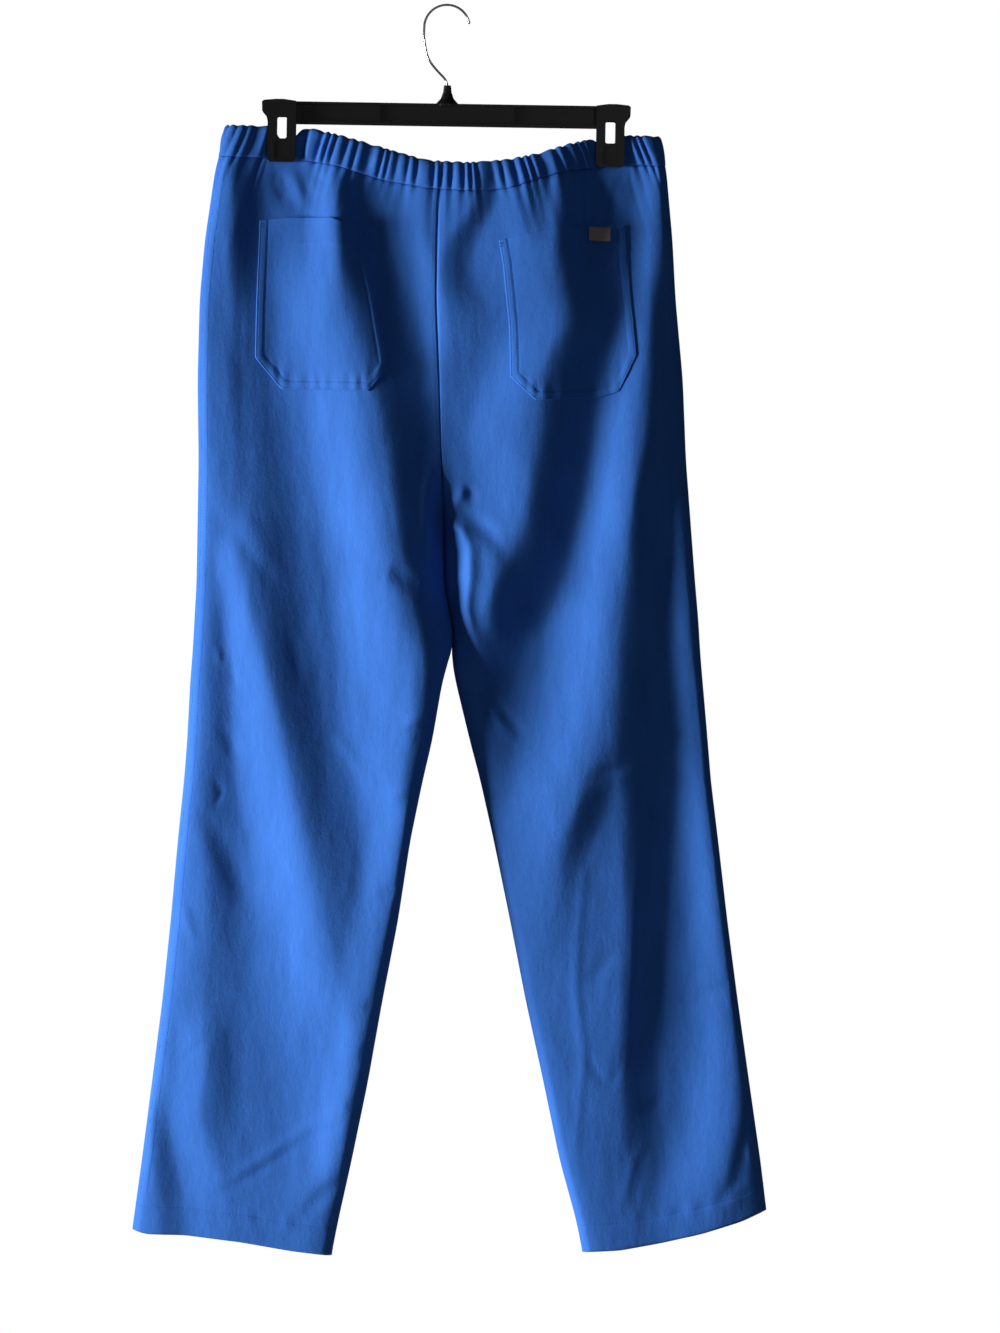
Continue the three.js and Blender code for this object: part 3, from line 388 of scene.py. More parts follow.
# %% The surface of the cloth
WAIST_ROUNDNESS = 2.4
HIP_ROUNDNESS = 3.6
LEG_ROUNDNESS = 4.0
SEAM_FADE = 0.045
LEAST_DEPTH = 5
DEPTH_EASE = 8
CLIP_X = {LEFT: -157.5, RIGHT: 159.5}
PINCH_HALF = 18
PINCH_REACH = 40
PINCH_DEPTH = 155
PINCH_TOP = WAIST_Z + 5
PRESSED_Y = 2.35
LEAST_CREASED = 1.2
HIP_FROM = -170
HIP_FULL = -260
ROLLS_FROM = 15
ROLLS_FULL = 23


def arch(share, roundness):
    """The height of a rounded arch of height 1, at a share of its half width."""
    return np.clip(1 - np.abs(share) ** roundness, 0, 1) ** (1 / roundness)


def soft_floor(value, floor, ease):
    over = value - floor
    return floor + (over + np.hypot(over, ease)) / 2


def from_clip(x):
    return np.minimum(np.abs(x - CLIP_X[LEFT]), np.abs(x - CLIP_X[RIGHT]))


def pinch(x, z):
    """1 where a clip presses the waist flat, 0 away from it."""
    across = 1 - ramp(PINCH_HALF, PINCH_HALF + PINCH_REACH, from_clip(x))
    return across * ramp(WAIST_Z - PINCH_DEPTH, PINCH_TOP, z)


def clear_of_clips(x):
    """0 under a clip, where the casing is pressed, and 1 beside it, where its rolls start."""
    return ramp(ROLLS_FROM, ROLLS_FULL, from_clip(x))


def seam_plane(side, x, row):
    """Where the plane of the seams lies: the left leg's inseam hangs behind its side seam."""
    if side == RIGHT:
        return np.zeros(np.broadcast(x, row["turn"]).shape)
    across = np.clip((x - row["left_side"]) / (row["left_inner"] - row["left_side"]), 0, 1)
    return -row["turn"] * across


def cloth_depth(side, face, x, z, creases=True):
    """How far the outer face stands out from the plane of the seams."""
    row = read_body(z)
    outer, inner = side_edges(row, side)
    depth = row["back"] if face == BACK else row["front"]
    share = np.clip((x - inner) / (outer - inner), 0, 1)
    leg = leg_share(z)
    hip_roundness = mix(WAIST_ROUNDNESS, HIP_ROUNDNESS, ramp(HIP_FROM, HIP_FULL, z))
    plain = depth * mix(arch(share, hip_roundness), arch(2 * share - 1, LEG_ROUNDNESS), leg)
    near = ramp(0, SEAM_FADE, 1 - share) * mix(1, ramp(0, SEAM_FADE, share), leg)
    if face == BACK:
        fold = fold_height(x, z, row, side)
    else:
        fold = FRONT_SHARE * fold_height(2 * MIRROR_X - x, z, mirrored_row(row), -side)
    opened = plain + fold * near
    free = mix(opened, soft_floor(opened, np.minimum(LEAST_DEPTH, plain), DEPTH_EASE), near)
    near_side = ramp(0, SEAM_FADE, 1 - share)
    y = mix(np.maximum(free, PRESSED_Y * near_side), PRESSED_Y, pinch(x, z) * near_side)
    if creases:
        if face == BACK:
            small = crease_height(x, z, CREASES)
        else:
            small = FRONT_SHARE * crease_height(2 * MIRROR_X - x, z, CREASES)
        y = np.maximum(y + small * near, np.minimum(y, LEAST_CREASED))
    return y


def cloth_y(side, face, x, z, out=0.0, creases=True):
    """The same as a place in the frame, with out millimetres added outwards."""
    row = read_body(z)
    return seam_plane(side, x, row) + face * (cloth_depth(side, face, x, z, creases) + out)


test_depth = cloth_depth(LEFT, BACK, np.array([-100.0]), np.array([-400.0]))
print("depth of the seat 100 mm left of the middle:", round(float(test_depth[0]), 1), "mm")

# %% [markdown]
# Real cloth has a thickness, and its cut edges and rolled rims show it. So each piece is made from
# two grids of points, the outer face and an inner face a millimetre below it, closed all round. One
# helper finds the direction of the cloth at each point of a grid, and another joins an outer and an
# inner grid into one closed body.

# %% Cloth from grids
def grid_normals(points):
    """Unit normals of a grid of points, from the differences to its neighbours."""
    across = np.gradient(points, axis=1)
    down = np.gradient(points, axis=0)
    normals = np.cross(across, down)
    return normals / np.maximum(np.linalg.norm(normals, axis=2, keepdims=True), 1e-9)


def new_object(name, vertices, faces, material):
    mesh = bpy.data.meshes.new(name)
    mesh.from_pydata([tuple(v) for v in np.asarray(vertices) * MM], [], faces)
    mesh.polygons.foreach_set("use_smooth", [True] * len(mesh.polygons))
    mesh.materials.append(material)
    mesh.update()
    piece = bpy.data.objects.new(name, mesh)
    bpy.context.scene.collection.objects.link(piece)
    return piece


def shell(name, outer, inner, turn, material):
    """One closed piece of cloth from an outer and an inner grid of the same size."""
    rows, columns = outer.shape[:2]
    index = np.arange(rows * columns).reshape(rows, columns)
    a, b = index[:-1, :-1].ravel(), index[:-1, 1:].ravel()
    c, d = index[1:, 1:].ravel(), index[1:, :-1].ravel()
    outside = np.stack([a, b, c, d], 1)
    inside = np.stack([d, c, b, a], 1) + rows * columns
    rim = np.concatenate([index[0, :-1], index[:-1, -1], index[-1, :0:-1], index[:0:-1, 0]])
    after = np.roll(rim, -1)
    border = np.stack([after, rim, rim + rows * columns, after + rows * columns], 1)
    faces = np.concatenate([outside, inside, border])
    if turn < 0:
        faces = faces[:, ::-1]
    vertices = np.concatenate([outer.reshape(-1, 3), inner.reshape(-1, 3)])
    return new_object(name, vertices, faces.tolist(), material)


print("grid helpers are ready")

# %% [markdown]
# Scrubs are sewn from a fine, tightly woven cotton blend: matt, faintly fuzzy when seen from the
# side, and a little uneven in its dye. The finish is built from that. Two crossed waves give the
# threads, stretched noise gives the slight slubs and the shallow rumples of worn cloth, and a soft
# sheen stands for the fuzz. Everything is placed by the object's own coordinates, in real sizes.

# %% Cloth finish
def shader_nodes(name):
    material = bpy.data.materials.new(name)
    material.use_nodes = True
    nodes = material.node_tree.nodes
    return material, nodes, material.node_tree.links, nodes["Principled BSDF"]


def noise(nodes, links, vector, scale, detail=3.0):
    node = nodes.new("ShaderNodeTexNoise")
    node.inputs["Scale"].default_value = scale
    node.inputs["Detail"].default_value = detail
    links.new(vector, node.inputs["Vector"])
    return node


def stretched(nodes, links, source, scale):
    node = nodes.new("ShaderNodeMapping")
    node.inputs["Scale"].default_value = scale
    links.new(source, node.inputs["Vector"])
    return node.outputs["Vector"]


def threads(nodes, links, vector, direction, pitch):
    """Waves across one direction, a thread every pitch metres."""
    node = nodes.new("ShaderNodeTexWave")
    node.bands_direction = direction
    node.inputs["Scale"].default_value = 2 * math.pi / (20 * pitch)
    node.inputs["Distortion"].default_value = 0.6
    node.inputs["Detail"].default_value = 1.0
    node.inputs["Detail Scale"].default_value = 3.0
    links.new(vector, node.inputs["Vector"])
    return node.outputs["Fac"]


def combine(nodes, links, operation, first, second):
    node = nodes.new("ShaderNodeMath")
    node.operation = operation
    for socket, value in zip(node.inputs, (first, second)):
        if isinstance(value, (int, float)):
            socket.default_value = value
        else:
            links.new(value, socket)
    return node.outputs[0]


def bump(nodes, links, height, strength, distance, below=None):
    node = nodes.new("ShaderNodeBump")
    node.inputs["Strength"].default_value = strength
    node.inputs["Distance"].default_value = distance
    links.new(height, node.inputs["Height"])
    if below is not None:
        links.new(below, node.inputs["Normal"])
    return node.outputs["Normal"]


def cloth_material(name, dark, light, pitch=0.0005, sheen=0.12):
    material, nodes, links, principled = shader_nodes(name)
    place = nodes.new("ShaderNodeTexCoord").outputs["Object"]
    dye = noise(nodes, links, stretched(nodes, links, place, (1.0, 1.0, 0.25)), 38, 4)
    slubs = noise(nodes, links, stretched(nodes, links, place, (1.0, 1.0, 0.06)), 900, 2)
    shade = combine(nodes, links, "ADD", dye.outputs["Fac"], combine(
        nodes, links, "MULTIPLY", slubs.outputs["Fac"], 0.5))
    colours = nodes.new("ShaderNodeValToRGB")
    colours.color_ramp.elements[0].position = 0.45
    colours.color_ramp.elements[1].position = 1.05
    colours.color_ramp.elements[0].color = (*dark, 1)
    colours.color_ramp.elements[1].color = (*light, 1)
    links.new(shade, colours.inputs["Fac"])
    links.new(colours.outputs["Color"], principled.inputs["Base Color"])
    warp = threads(nodes, links, place, "X", pitch)
    weft = threads(nodes, links, place, "Z", pitch)
    weave = combine(nodes, links, "MAXIMUM", warp, weft)
    rumple = noise(nodes, links, stretched(nodes, links, place, (1.0, 1.0, 0.45)), 55, 3)
    fine = noise(nodes, links, place, 420, 2)
    soft = bump(nodes, links, rumple.outputs["Fac"], 0.45, 0.0022)
    grainy = bump(nodes, links, fine.outputs["Fac"], 0.5, 0.0004, soft)
    links.new(bump(nodes, links, weave, 0.35, 0.00012, grainy), principled.inputs["Normal"])
    principled.inputs["Roughness"].default_value = 0.82
    principled.inputs["Specular IOR Level"].default_value = 0.25
    principled.inputs["Sheen Weight"].default_value = sheen
    principled.inputs["Sheen Roughness"].default_value = 0.45
    principled.inputs["Sheen Tint"].default_value = (0.45, 0.62, 1.0, 1)
    return material


scrub_cloth = cloth_material("scrub_cloth", (0.025, 0.132, 0.50), (0.038, 0.178, 0.65))
# The casing's colours are the panel cloth's made a little darker all over: painted shade for the waist,
# which gets less light.
casing_cloth = cloth_material("casing_cloth", (0.024, 0.126, 0.48), (0.036, 0.170, 0.62))
print("made", scrub_cloth.name, "and", casing_cloth.name)

# %% [markdown]
# The waist casing is a strip of the same cloth folded over wide elastic and sewn to the panels. The
# elastic is shorter than the cloth, so it draws it into small rolls, about forty over each half.
# No two rolls are alike, so their spacing and height wander. The rolls lean a little, run on into
# the panels below the seam and die out there, some sooner than others. They are written as a wave
# along the length of the waist, which the casing and the panels both read, so that they match.

# %% Gathers
GATHERS_A_HALF = 42
WAIST_STEPS = 600
WAIST_LEVEL = -135
COLUMNS_FROM = 210
LEAST_REACH = 7


def panel_x(side, along, z):
    """A panel's columns: along is 0 at the side seam and 1 at the centre seam or inseam."""
    row = read_body(z)
    outer, inner = side_edges(row, side)
    hip = 1 - np.cos(along * np.pi / 2)
    leg = (1 - np.cos(along * np.pi)) / 2
    return outer + (inner - outer) * mix(hip, leg, ramp(CROTCH_Z + COLUMNS_FROM, CROTCH_Z, z))


def waist_lengths(side):
    """Length along the waist from the centre back to the centre front, at each step of along."""
    along = np.linspace(1, 0, WAIST_STEPS)
    level = np.full(WAIST_STEPS, float(WAIST_LEVEL))
    x = panel_x(side, along, level)
    back = np.stack([x, cloth_y(side, BACK, x, level, creases=False)], 1)
    front = np.stack([x, cloth_y(side, FRONT, x, level, creases=False)], 1)[::-1]
    route = np.concatenate([back, front])
    steps = np.linalg.norm(np.diff(route, axis=0), axis=1)
    lengths = np.concatenate([[0], np.cumsum(steps)])
    return along, lengths[:WAIST_STEPS], lengths[WAIST_STEPS:][::-1], lengths[-1]


WAIST = {side: waist_lengths(side) for side in (LEFT, RIGHT)}
PITCH = WAIST[LEFT][3] / GATHERS_A_HALF


def length_at(side, face, along):
    steps, back, front, _ = WAIST[side]
    lengths = back if face == BACK else front
    return np.interp(along, steps[::-1], lengths[::-1])


def gather_place(side, length, drop):
    """Which gather a point belongs to, counted from the centre back, with the lean of the rolls."""
    lean = -0.16 if side == LEFT else -0.22
    near_centre = ramp(5, 60, length)
    return (length + lean * near_centre * drop) / PITCH


def gather_wave(side, place):
    """From about -1 in a tuck to 1 on top of a roll, uneven along the waist."""
    seed = 0.0 if side == LEFT else 2.6
    wander = 0.24 * np.sin(1.17 * place + 0.7 + seed) + 0.17 * np.sin(2.31 * place + 2.1 * seed)
    wave = 2 * np.sqrt(np.sin(np.pi * (place + wander)) ** 2 + 0.02) - 1.1
    size = 0.78 + 0.3 * np.sin(0.83 * place + 1.3 + seed) * np.sin(0.37 * place + seed)
    return wave * size


def gather_fade(place, drop):
    """How much of a gather is left at a drop below the seam: some end soon, some run on."""
    reach = 15 + 9 * np.sin(1.9 * place + 0.4) + 7 * np.sin(0.77 * place + 1.1)
    return np.exp(-np.maximum(drop, 0) / np.maximum(reach, LEAST_REACH))


print("one gather every", round(PITCH, 1), "mm")

# %% [markdown]
# Each leg is cut from a back and a front panel, four in all, that meet at the side seams, the
# centre seams and the inseams. A panel is drawn on a fine grid: columns crowd towards the seams,
# where the cloth turns, and rows follow the sagging waist at the top and the hem at the bottom. At
# the hem the cloth is folded up and sewn, so the last 27 mm are double, with a dent along the
# stitches and small puckers.

# %% Panels
CLOTH = 1.0
HEM_HEIGHT = 27
COLUMNS = {BACK: 132, FRONT: 84}
SEAT_ROWS = {BACK: 128, FRONT: 70}
LEG_ROWS = {BACK: 150, FRONT: 90}
HEM_ROW_COUNT = 26
GAP_TOP = -629
JOINED = 0.55
JOIN_FROM = -455
JOIN_FULL = -474
WAIST_REACH = 130
HEM_REACH = 190
FRONT_DROP = 5
FRONT_DROP_EASE = 0.35
GATHER_SHARE = 1.5
ROW_CROWDING = 1.25
ABOVE_HEM = 14
HEM_TURN = 0.9
INNER_LIMIT = 0.02
SEAT_REACH = 60
SEAM_CLEAR = 0.12
SEAM_OVERLAP = 0.45


def row_heights(face):
    """Heights of a panel's rows before they bend with the waist and the hem."""
    shares = np.linspace(0, 1, SEAT_ROWS[face], endpoint=False) ** ROW_CROWDING
    seat = WAIST_Z + (CROTCH_Z - WAIST_Z) * shares
    hem_start = HEM_Z + HEM_HEIGHT + ABOVE_HEM
    leg = np.linspace(CROTCH_Z, hem_start, LEG_ROWS[face], endpoint=False)
    hem = np.linspace(hem_start, HEM_Z, HEM_ROW_COUNT)
    return np.concatenate([seat, leg, hem])


def front_drop(face, along, x):
    """How much lower the waist hangs in front than behind, away from the clips."""
    if face == BACK:
        return 0
    return FRONT_DROP * ramp(0, FRONT_DROP_EASE, along) * (1 - pinch(x, PINCH_TOP))


def waist_seam(face, along, x):
    """The height where the panels meet the casing."""
    return read_casing(x)["low"] - front_drop(face, along, x)


def panel_grid(side, face):
    along = np.linspace(0, 1, COLUMNS[face] + 1)[None, :]
    base = row_heights(face)[:, None]
    near_waist = ramp(WAIST_Z - WAIST_REACH, WAIST_Z, base)
    near_hem = ramp(HEM_Z + HEM_REACH, HEM_Z + HEM_HEIGHT, base)
    z = base + 0 * along
    for _ in range(3):
        x = panel_x(side, along, z)
        waist_shift = waist_seam(face, along, x) - WAIST_Z
        hem_shift = read_hem(x)["z"] - HEM_Z
        z = base + waist_shift * near_waist + hem_shift * near_hem
    return along + 0 * z, panel_x(side, along, z), z, base + 0 * z


def hem_relief(x, base):
    """Double cloth at the hem, the dent of its stitches and the puckers along them."""
    up = base - HEM_Z
    double = 0.5 * ramp(HEM_HEIGHT + 1.2, HEM_HEIGHT - 1.2, up)
    dent = -0.55 * np.exp(-(((up - HEM_HEIGHT + 1.5) / 1.6) ** 2))
    wander = np.sin(x / 5.3 + 1.2 * np.sin(x / 17)) + 0.6 * np.sin(x / 3.1 + 0.7)
    puckers = 0.34 * wander * np.exp(-(((up - HEM_HEIGHT) / 8) ** 2)) * (0.6 + 0.4 * np.sin(x / 31))
    rim = -0.8 * ramp(2.2, 0, up)
    return double + dent + puckers + rim


def panel_relief(side, face, along, x, z, base):
    drop = waist_seam(face, along, x) - z
    place = gather_place(side, length_at(side, face, along), drop)
    gathers = GATHER_SHARE * gather_wave(side, place) * gather_fade(place, drop) * clear_of_clips(x)
    tucked = -0.9 * np.exp(-drop / 3)
    return gathers + tucked + hem_relief(x, base)


def make_panel(name, side, face):
    along, x, z, base = panel_grid(side, face)
    near = ramp(0, 0.03, along)
    seam_roll = -0.9 * np.exp(-(1 - along) * 90) * (1 - leg_share(z))
    out = panel_relief(side, face, along, x, z, base) * near + seam_roll
    row = read_body(z)
    plane = seam_plane(side, x, row)
    depth = cloth_depth(side, face, x, z) + out
    depth = np.maximum(depth, np.minimum(0.05 + 40 * along, 0.9) * np.minimum(0.05 + 40 * (1 - along), 1))
    outer = np.stack([x, plane + face * depth, z], 2)
    inward = grid_normals(outer) * (-side * face)
    thick = CLOTH + HEM_TURN * ramp(HEM_HEIGHT + 2, HEM_HEIGHT, base - HEM_Z)
    inner = outer - inward * thick[..., None]
    inner[..., 2] = np.where(base <= HEM_Z, outer[..., 2], inner[..., 2])
    inner[0, :, 2] = outer[0, :, 2]
    inner_plane = seam_plane(side, inner[..., 0], row)
    inner_depth = np.maximum(face * (inner[..., 1] - inner_plane), INNER_LIMIT)
    inner[..., 1] = inner_plane + face * inner_depth
    touching = ramp(JOIN_FROM, JOIN_FULL, z) * ramp(GAP_TOP - 4, GAP_TOP + 4, z)
    centre = (row["left_inner"] + row["right_inner"]) / 2
    seat = z > CROTCH_Z - SEAT_REACH
    least = SEAM_CLEAR - SEAM_OVERLAP * touching
    for grid in (outer, inner):
        grid[..., 0] -= side * JOINED * touching * ramp(0.97, 1, along)
        clear = centre + side * np.maximum(side * (grid[..., 0] - centre), least)
        grid[..., 0] = np.where(seat, clear, grid[..., 0])
    return shell(name, outer, inner, -side * face, scrub_cloth), outer


panels = {}
panel_points = {}
for side_name, side in (("left", LEFT), ("right", RIGHT)):
    for face_name, face in (("back", BACK), ("front", FRONT)):
        name = f"panel_{face_name}_{side_name}"
        panels[side, face], panel_points[side, face] = make_panel(name, side, face)
        print(name, len(panels[side, face].data.polygons), "faces")

# %% [markdown]
# The casing itself is a flat tube: the outer face, a rolled top edge, and the inner face, with the
# elastic between. It is made as one ring of points that is carried along the waist from the centre
# back round to the centre front. The gathers swell the outer face and scallop the top edge.

# %% Waist casing
CASING_COLUMNS = 432
CASING_RISE = 13
CASING_HEIGHT = 28
CENTRE_GAP = 0.03
CASING_THICK = 2.2
GATHER_SIZE = 2.1


def casing_ring():
    """The ring around the casing: height share from the seam up, and depth share outwards."""
    up = [(share, 1.0) for share in np.linspace(0, 0.94, CASING_RISE)]
    over = [(1.0, 0.72), (1.02, 0.4), (1.0, 0.08)]
    down = [(share, 0.0) for share in np.linspace(0.93, 0.0, 6)]
    return np.array(up + over + down)


def make_casing(name, side):
    steps, back, front, total = WAIST[side]
    wanted = np.linspace(0, total, CASING_COLUMNS + 1)
    on_back = wanted <= back[-1]
    along = np.where(on_back, np.interp(wanted, back, steps), np.interp(wanted, front[::-1], steps[::-1]))
    faces = np.where(on_back, BACK, FRONT)
    ring = casing_ring()
    grid = np.zeros((len(ring), len(wanted), 3))
    x_level = panel_x(side, along, np.full(along.shape, float(WAIST_LEVEL)))
    for face in (BACK, FRONT):
        chosen = faces == face
        a = along[chosen]
        x = x_level[chosen]
        for _ in range(3):
            low = waist_seam(face, a, x)
            x = panel_x(side, a, low)
        top = read_casing(x)["top"] - front_drop(face, a, x)
        free = clear_of_clips(x)
        lift = GATHER_SIZE * pinch(x, PINCH_TOP)
        for index, (up, out) in enumerate(ring):
            height = mix(low + 0.3, top, up)
            place = gather_place(side, wanted[chosen], -CASING_HEIGHT * up)
            wave = gather_wave(side, place) * free
            xs = panel_x(side, a, height)
            swell = (0.4 + 1.5 * np.sin(np.pi * min(up, 1)) ** 0.6) * (0.35 + 0.65 * free)
            swing = GATHER_SIZE * wave * (0.55 + 0.45 * math.sin(math.pi * min(up, 1)))
            relief = (swell + swing + lift * free) * out
            depth = cloth_depth(side, face, xs, height, creases=False)
            offset = relief - CASING_THICK * (1 - out)
            grid[index, chosen, 0] = xs
            grid[index, chosen, 1] = face * depth
            grid[index, chosen, 2] = height + 1.0 * wave * ramp(0.8, 1.0, up)
            grid[index, chosen] += casing_normal(side, face, a, height) * offset[:, None]
    centre = read_body(grid[..., 2])["left_inner"]
    for column in (0, len(wanted) - 1):
        grid[:, column, 0] = centre[:, column] + side * CENTRE_GAP
    return tube_piece(name, grid, side)


def casing_normal(side, face, along, height):
    """The level outward direction of the waist at a place."""
    nudge = 0.004
    ahead = np.clip(along + nudge, 0, 1)
    behind = np.clip(along - nudge, 0, 1)
    points = []
    for a in (behind, ahead):
        x = panel_x(side, a, height)
        points.append(np.stack([x, face * cloth_depth(side, face, x, height, creases=False)], 1))
    run = points[1] - points[0]
    normal = np.stack([run[:, 1], -run[:, 0], np.zeros(len(run))], 1)
    normal *= side * face
    return normal / np.maximum(np.linalg.norm(normal, axis=1, keepdims=True), 1e-9)


def tube_piece(name, grid, side):
    """A closed tube from rings in rows and their places in columns, with flat ends."""
    rows, columns = grid.shape[:2]
    index = np.arange(rows * columns).reshape(rows, columns)
    following = np.roll(index, -1, axis=0)
    a, b = index[:, :-1].ravel(), index[:, 1:].ravel()
    c, d = following[:, 1:].ravel(), following[:, :-1].ravel()
    faces = np.stack([a, b, c, d], 1)
    ends = [index[:, 0].tolist(), index[::-1, -1].tolist()]
    if side < 0:
        faces = faces[:, ::-1]
        ends = [end[::-1] for end in ends]
    return new_object(name, grid.reshape(-1, 3), faces.tolist() + ends, casing_cloth)


casings = {}
for side_name, side in (("left", LEFT), ("right", RIGHT)):
    casings[side] = make_casing(f"casing_{side_name}", side)
    print(casings[side].name, len(casings[side].data.polygons), "faces")

# %% [markdown]
# The back pockets are patches: the edges are pressed under, and two rows of stitches hold the sides
# and the bottom to the trousers, while the mouth stays open. A patch follows every fold of the
# cloth below it. Its grid is stretched between four edge lines, the mouth, two sides and the
# bottom, and its depth is read from the same surface as the panel's, moved out by the cloth.

# %% Patch pockets
POCKETS = {
    LEFT: {
        "mouth": [(-181, -208), (-154, -205), (-112, -206), (-94, -212), (-77, -218.5)],
        "inner": [(-77, -218.5), (-75, -249), (-68, -278), (-56, -349), (-65, -361.5)],
        "bottom": [(-172.5, -356), (-160, -371), (-120, -372.5), (-74, -374), (-65, -361.5)],
        "outer": [(-181, -208), (-184, -291), (-185, -341), (-172.5, -356)],
    },
    RIGHT: {
        "mouth": [(50, -228), (65, -225), (90, -219.5), (110, -214.5), (136, -214.5), (172, -212)],
        "outer": [(172, -212), (177, -275), (183, -339), (174.5, -356.5)],
        "bottom": [(73, -371.5), (85, -383), (147, -380), (166, -374), (174.5, -356.5)],
        "inner": [(50, -228), (54, -252), (60, -313), (61, -360), (73, -371.5)],
    },
}
POCKET_ACROSS = 84
POCKET_DOWN = 104
POCKET_GAP = 0.35
PATCH_CLOTH = 0.9
POCKET_STITCHES = (1.7, 8.0)


def resample(path, shares):
    """Points at even shares of a path's length."""
    points = np.array(path, float)
    lengths = np.concatenate([[0], np.cumsum(np.linalg.norm(np.diff(points, axis=0), axis=1))])
    at = shares * lengths[-1]
    return np.stack([np.interp(at, lengths, points[:, k]) for k in range(2)], 1)


def edge_crowded(count):
    """Shares from 0 to 1 that crowd towards both ends, for the stitched edges."""
    even = np.linspace(0, 1, count + 1)
    return mix(even, (1 - np.cos(np.pi * even)) / 2, 0.7)


def pocket_plan(side):
    """The patch spread over its outline: x and z of a grid, mouth first, left edge first."""
    edges = POCKETS[side]
    left_name, right_name = ("outer", "inner") if side == LEFT else ("inner", "outer")
    across, down = edge_crowded(POCKET_ACROSS), edge_crowded(POCKET_DOWN)
    top, low = resample(edges["mouth"], across), resample(edges["bottom"], across)
    left, right = resample(edges[left_name], down), resample(edges[right_name], down)
    across, down = across[None, :, None], down[:, None, None]
    ruled = mix(top[None], low[None], down) + mix(left[:, None], right[:, None], across)
    corners = mix(mix(top[0], top[-1], across), mix(low[0], low[-1], across), down)
    level = 0 * (across + down)[..., 0]
    return ruled - corners, across[..., 0] + level, down[..., 0] + level


def border_distance(plan):
    """Distance from each point of the plan to the stitched border, and to the mouth."""
    stitched = np.concatenate([plan[:, 0], plan[-1], plan[::-1, -1]])
    distance = np.full(plan.shape[:2], np.inf)
    for start, end in zip(stitched[:-1], stitched[1:]):
        run = end - start
        length = max(np.linalg.norm(run), 1e-6)
        offset = plan - start
        walked = np.clip((offset @ run) / length, 0, length)
        near = start + walked[..., None] * run / length
        distance = np.minimum(distance, np.linalg.norm(plan - near, axis=2))
    return distance, np.linalg.norm(plan - plan[0][None], axis=2)


def pocket_relief(plan, across, down):
    edge, mouth = border_distance(plan)
    folded = 0.45 * ramp(9.0, 7.0, edge)
    stitch_dents = -0.4 * (np.exp(-(((edge - 1.6) / 0.8) ** 2)) + np.exp(-(((edge - 8.0) / 0.9) ** 2)))
    mouth_hem = 0.35 * ramp(27, 25.5, mouth)
    gape = 2.0 * np.sin(np.pi * across) ** 0.8 * np.exp(-mouth / 16)
    x = plan[..., 0]
    low_edge = np.exp(-(((edge - 8) / 9) ** 2)) * ramp(0.72, 0.95, down)
    puckers = 0.4 * low_edge * np.sin(x / 2.1 + np.sin(x / 6.5))
    rolled = -1.0 * ramp(0.9, 0.0, edge)
    return folded + stitch_dents + mouth_hem + gape + puckers + rolled


def make_pocket(name, side):
    plan, across, down = pocket_plan(side)
    x, z = plan[..., 0], plan[..., 1]
    relief = pocket_relief(plan, across, down)
    below = POCKET_GAP + np.maximum(gather_clearance(x, z), 0)
    inner = np.stack([x, cloth_y(side, BACK, x, z, below), z], 2)
    outer = np.stack([x, cloth_y(side, BACK, x, z, below + PATCH_CLOTH + relief), z], 2)
    return shell(name, outer, inner, 1, scrub_cloth), outer


def gather_clearance(x, z):
    """A little room at the top, where the panel still has gathers under the patch."""
    return 0.7 * ramp(-250, -205, z)


pockets = {}
pocket_points = {}
for side_name, side in (("left", LEFT), ("right", RIGHT)):
    pockets[side], pocket_points[side] = make_pocket(f"patch_pocket_{side_name}", side)
    print(pockets[side].name, len(pockets[side].data.polygons), "faces")

# %% [markdown]
# The trousers carry one small woven tab, folded over and caught in the hem of the right pocket's
# mouth. It is left plain. It is a strip folded at its lower end, so it is drawn as a short loop with
# a soft bend at the bottom.

# %% Tab
TAB_LEFT = 137
TAB_RIGHT = 158
TAB_TOP = -214.5
TAB_LENGTH = 13.5


def make_tab(name):
    across = np.linspace(TAB_LEFT, TAB_RIGHT, 22)
    down = np.linspace(0, 1, 16)
    rise = 0.5 * np.sin(np.pi * np.linspace(0, 1, 22)) ** 0.5
    x = across[None, :] + 0 * down[:, None]
    z = TAB_TOP - TAB_LENGTH * down[:, None] + 0.5 * np.sin(across[None, :] / 9)
    base = POCKET_GAP + PATCH_CLOTH + 2.9 + gather_clearance(x, z)
    fold = 0.5 * np.exp(-(((1 - down[:, None]) / 0.08) ** 2))
    inner = np.stack([x, cloth_y(RIGHT, BACK, x, z, base), z], 2)
    outer = np.stack([x, cloth_y(RIGHT, BACK, x, z, base + 0.7 + 0.25 * rise[None, :] - 0.5 * fold), z], 2)
    return shell(name, outer, inner, 1, tab_cloth)


# The tab's colours are its own pinkish grey made lighter: painted light, because here it sits in the shade
# of a fold.
tab_cloth = cloth_material("tab_cloth", (0.30, 0.25, 0.26), (0.44, 0.36, 0.37), 0.0006, 0.05)
tab = make_tab("woven_tab")
print(tab.name, "is", TAB_RIGHT - TAB_LEFT, "mm wide")

# %% [markdown]
# Stitches are what makes sewn cloth look sewn. Each is a short length of thread that lies on the
# cloth and dives in at both ends. A helper walks along a line on the surface and sets such a thread
# every few millimetres, so that one object holds all stitches of one seam.

# %% Stitches
thread_material = cloth_material("seam_thread", (0.030, 0.120, 0.48), (0.042, 0.160, 0.60), 0.0003, 0.05)
STITCH_PITCH = 3.1
STITCH_LENGTH = 2.3
STITCH_RADIUS = 0.24
STITCH_SIDES = 6


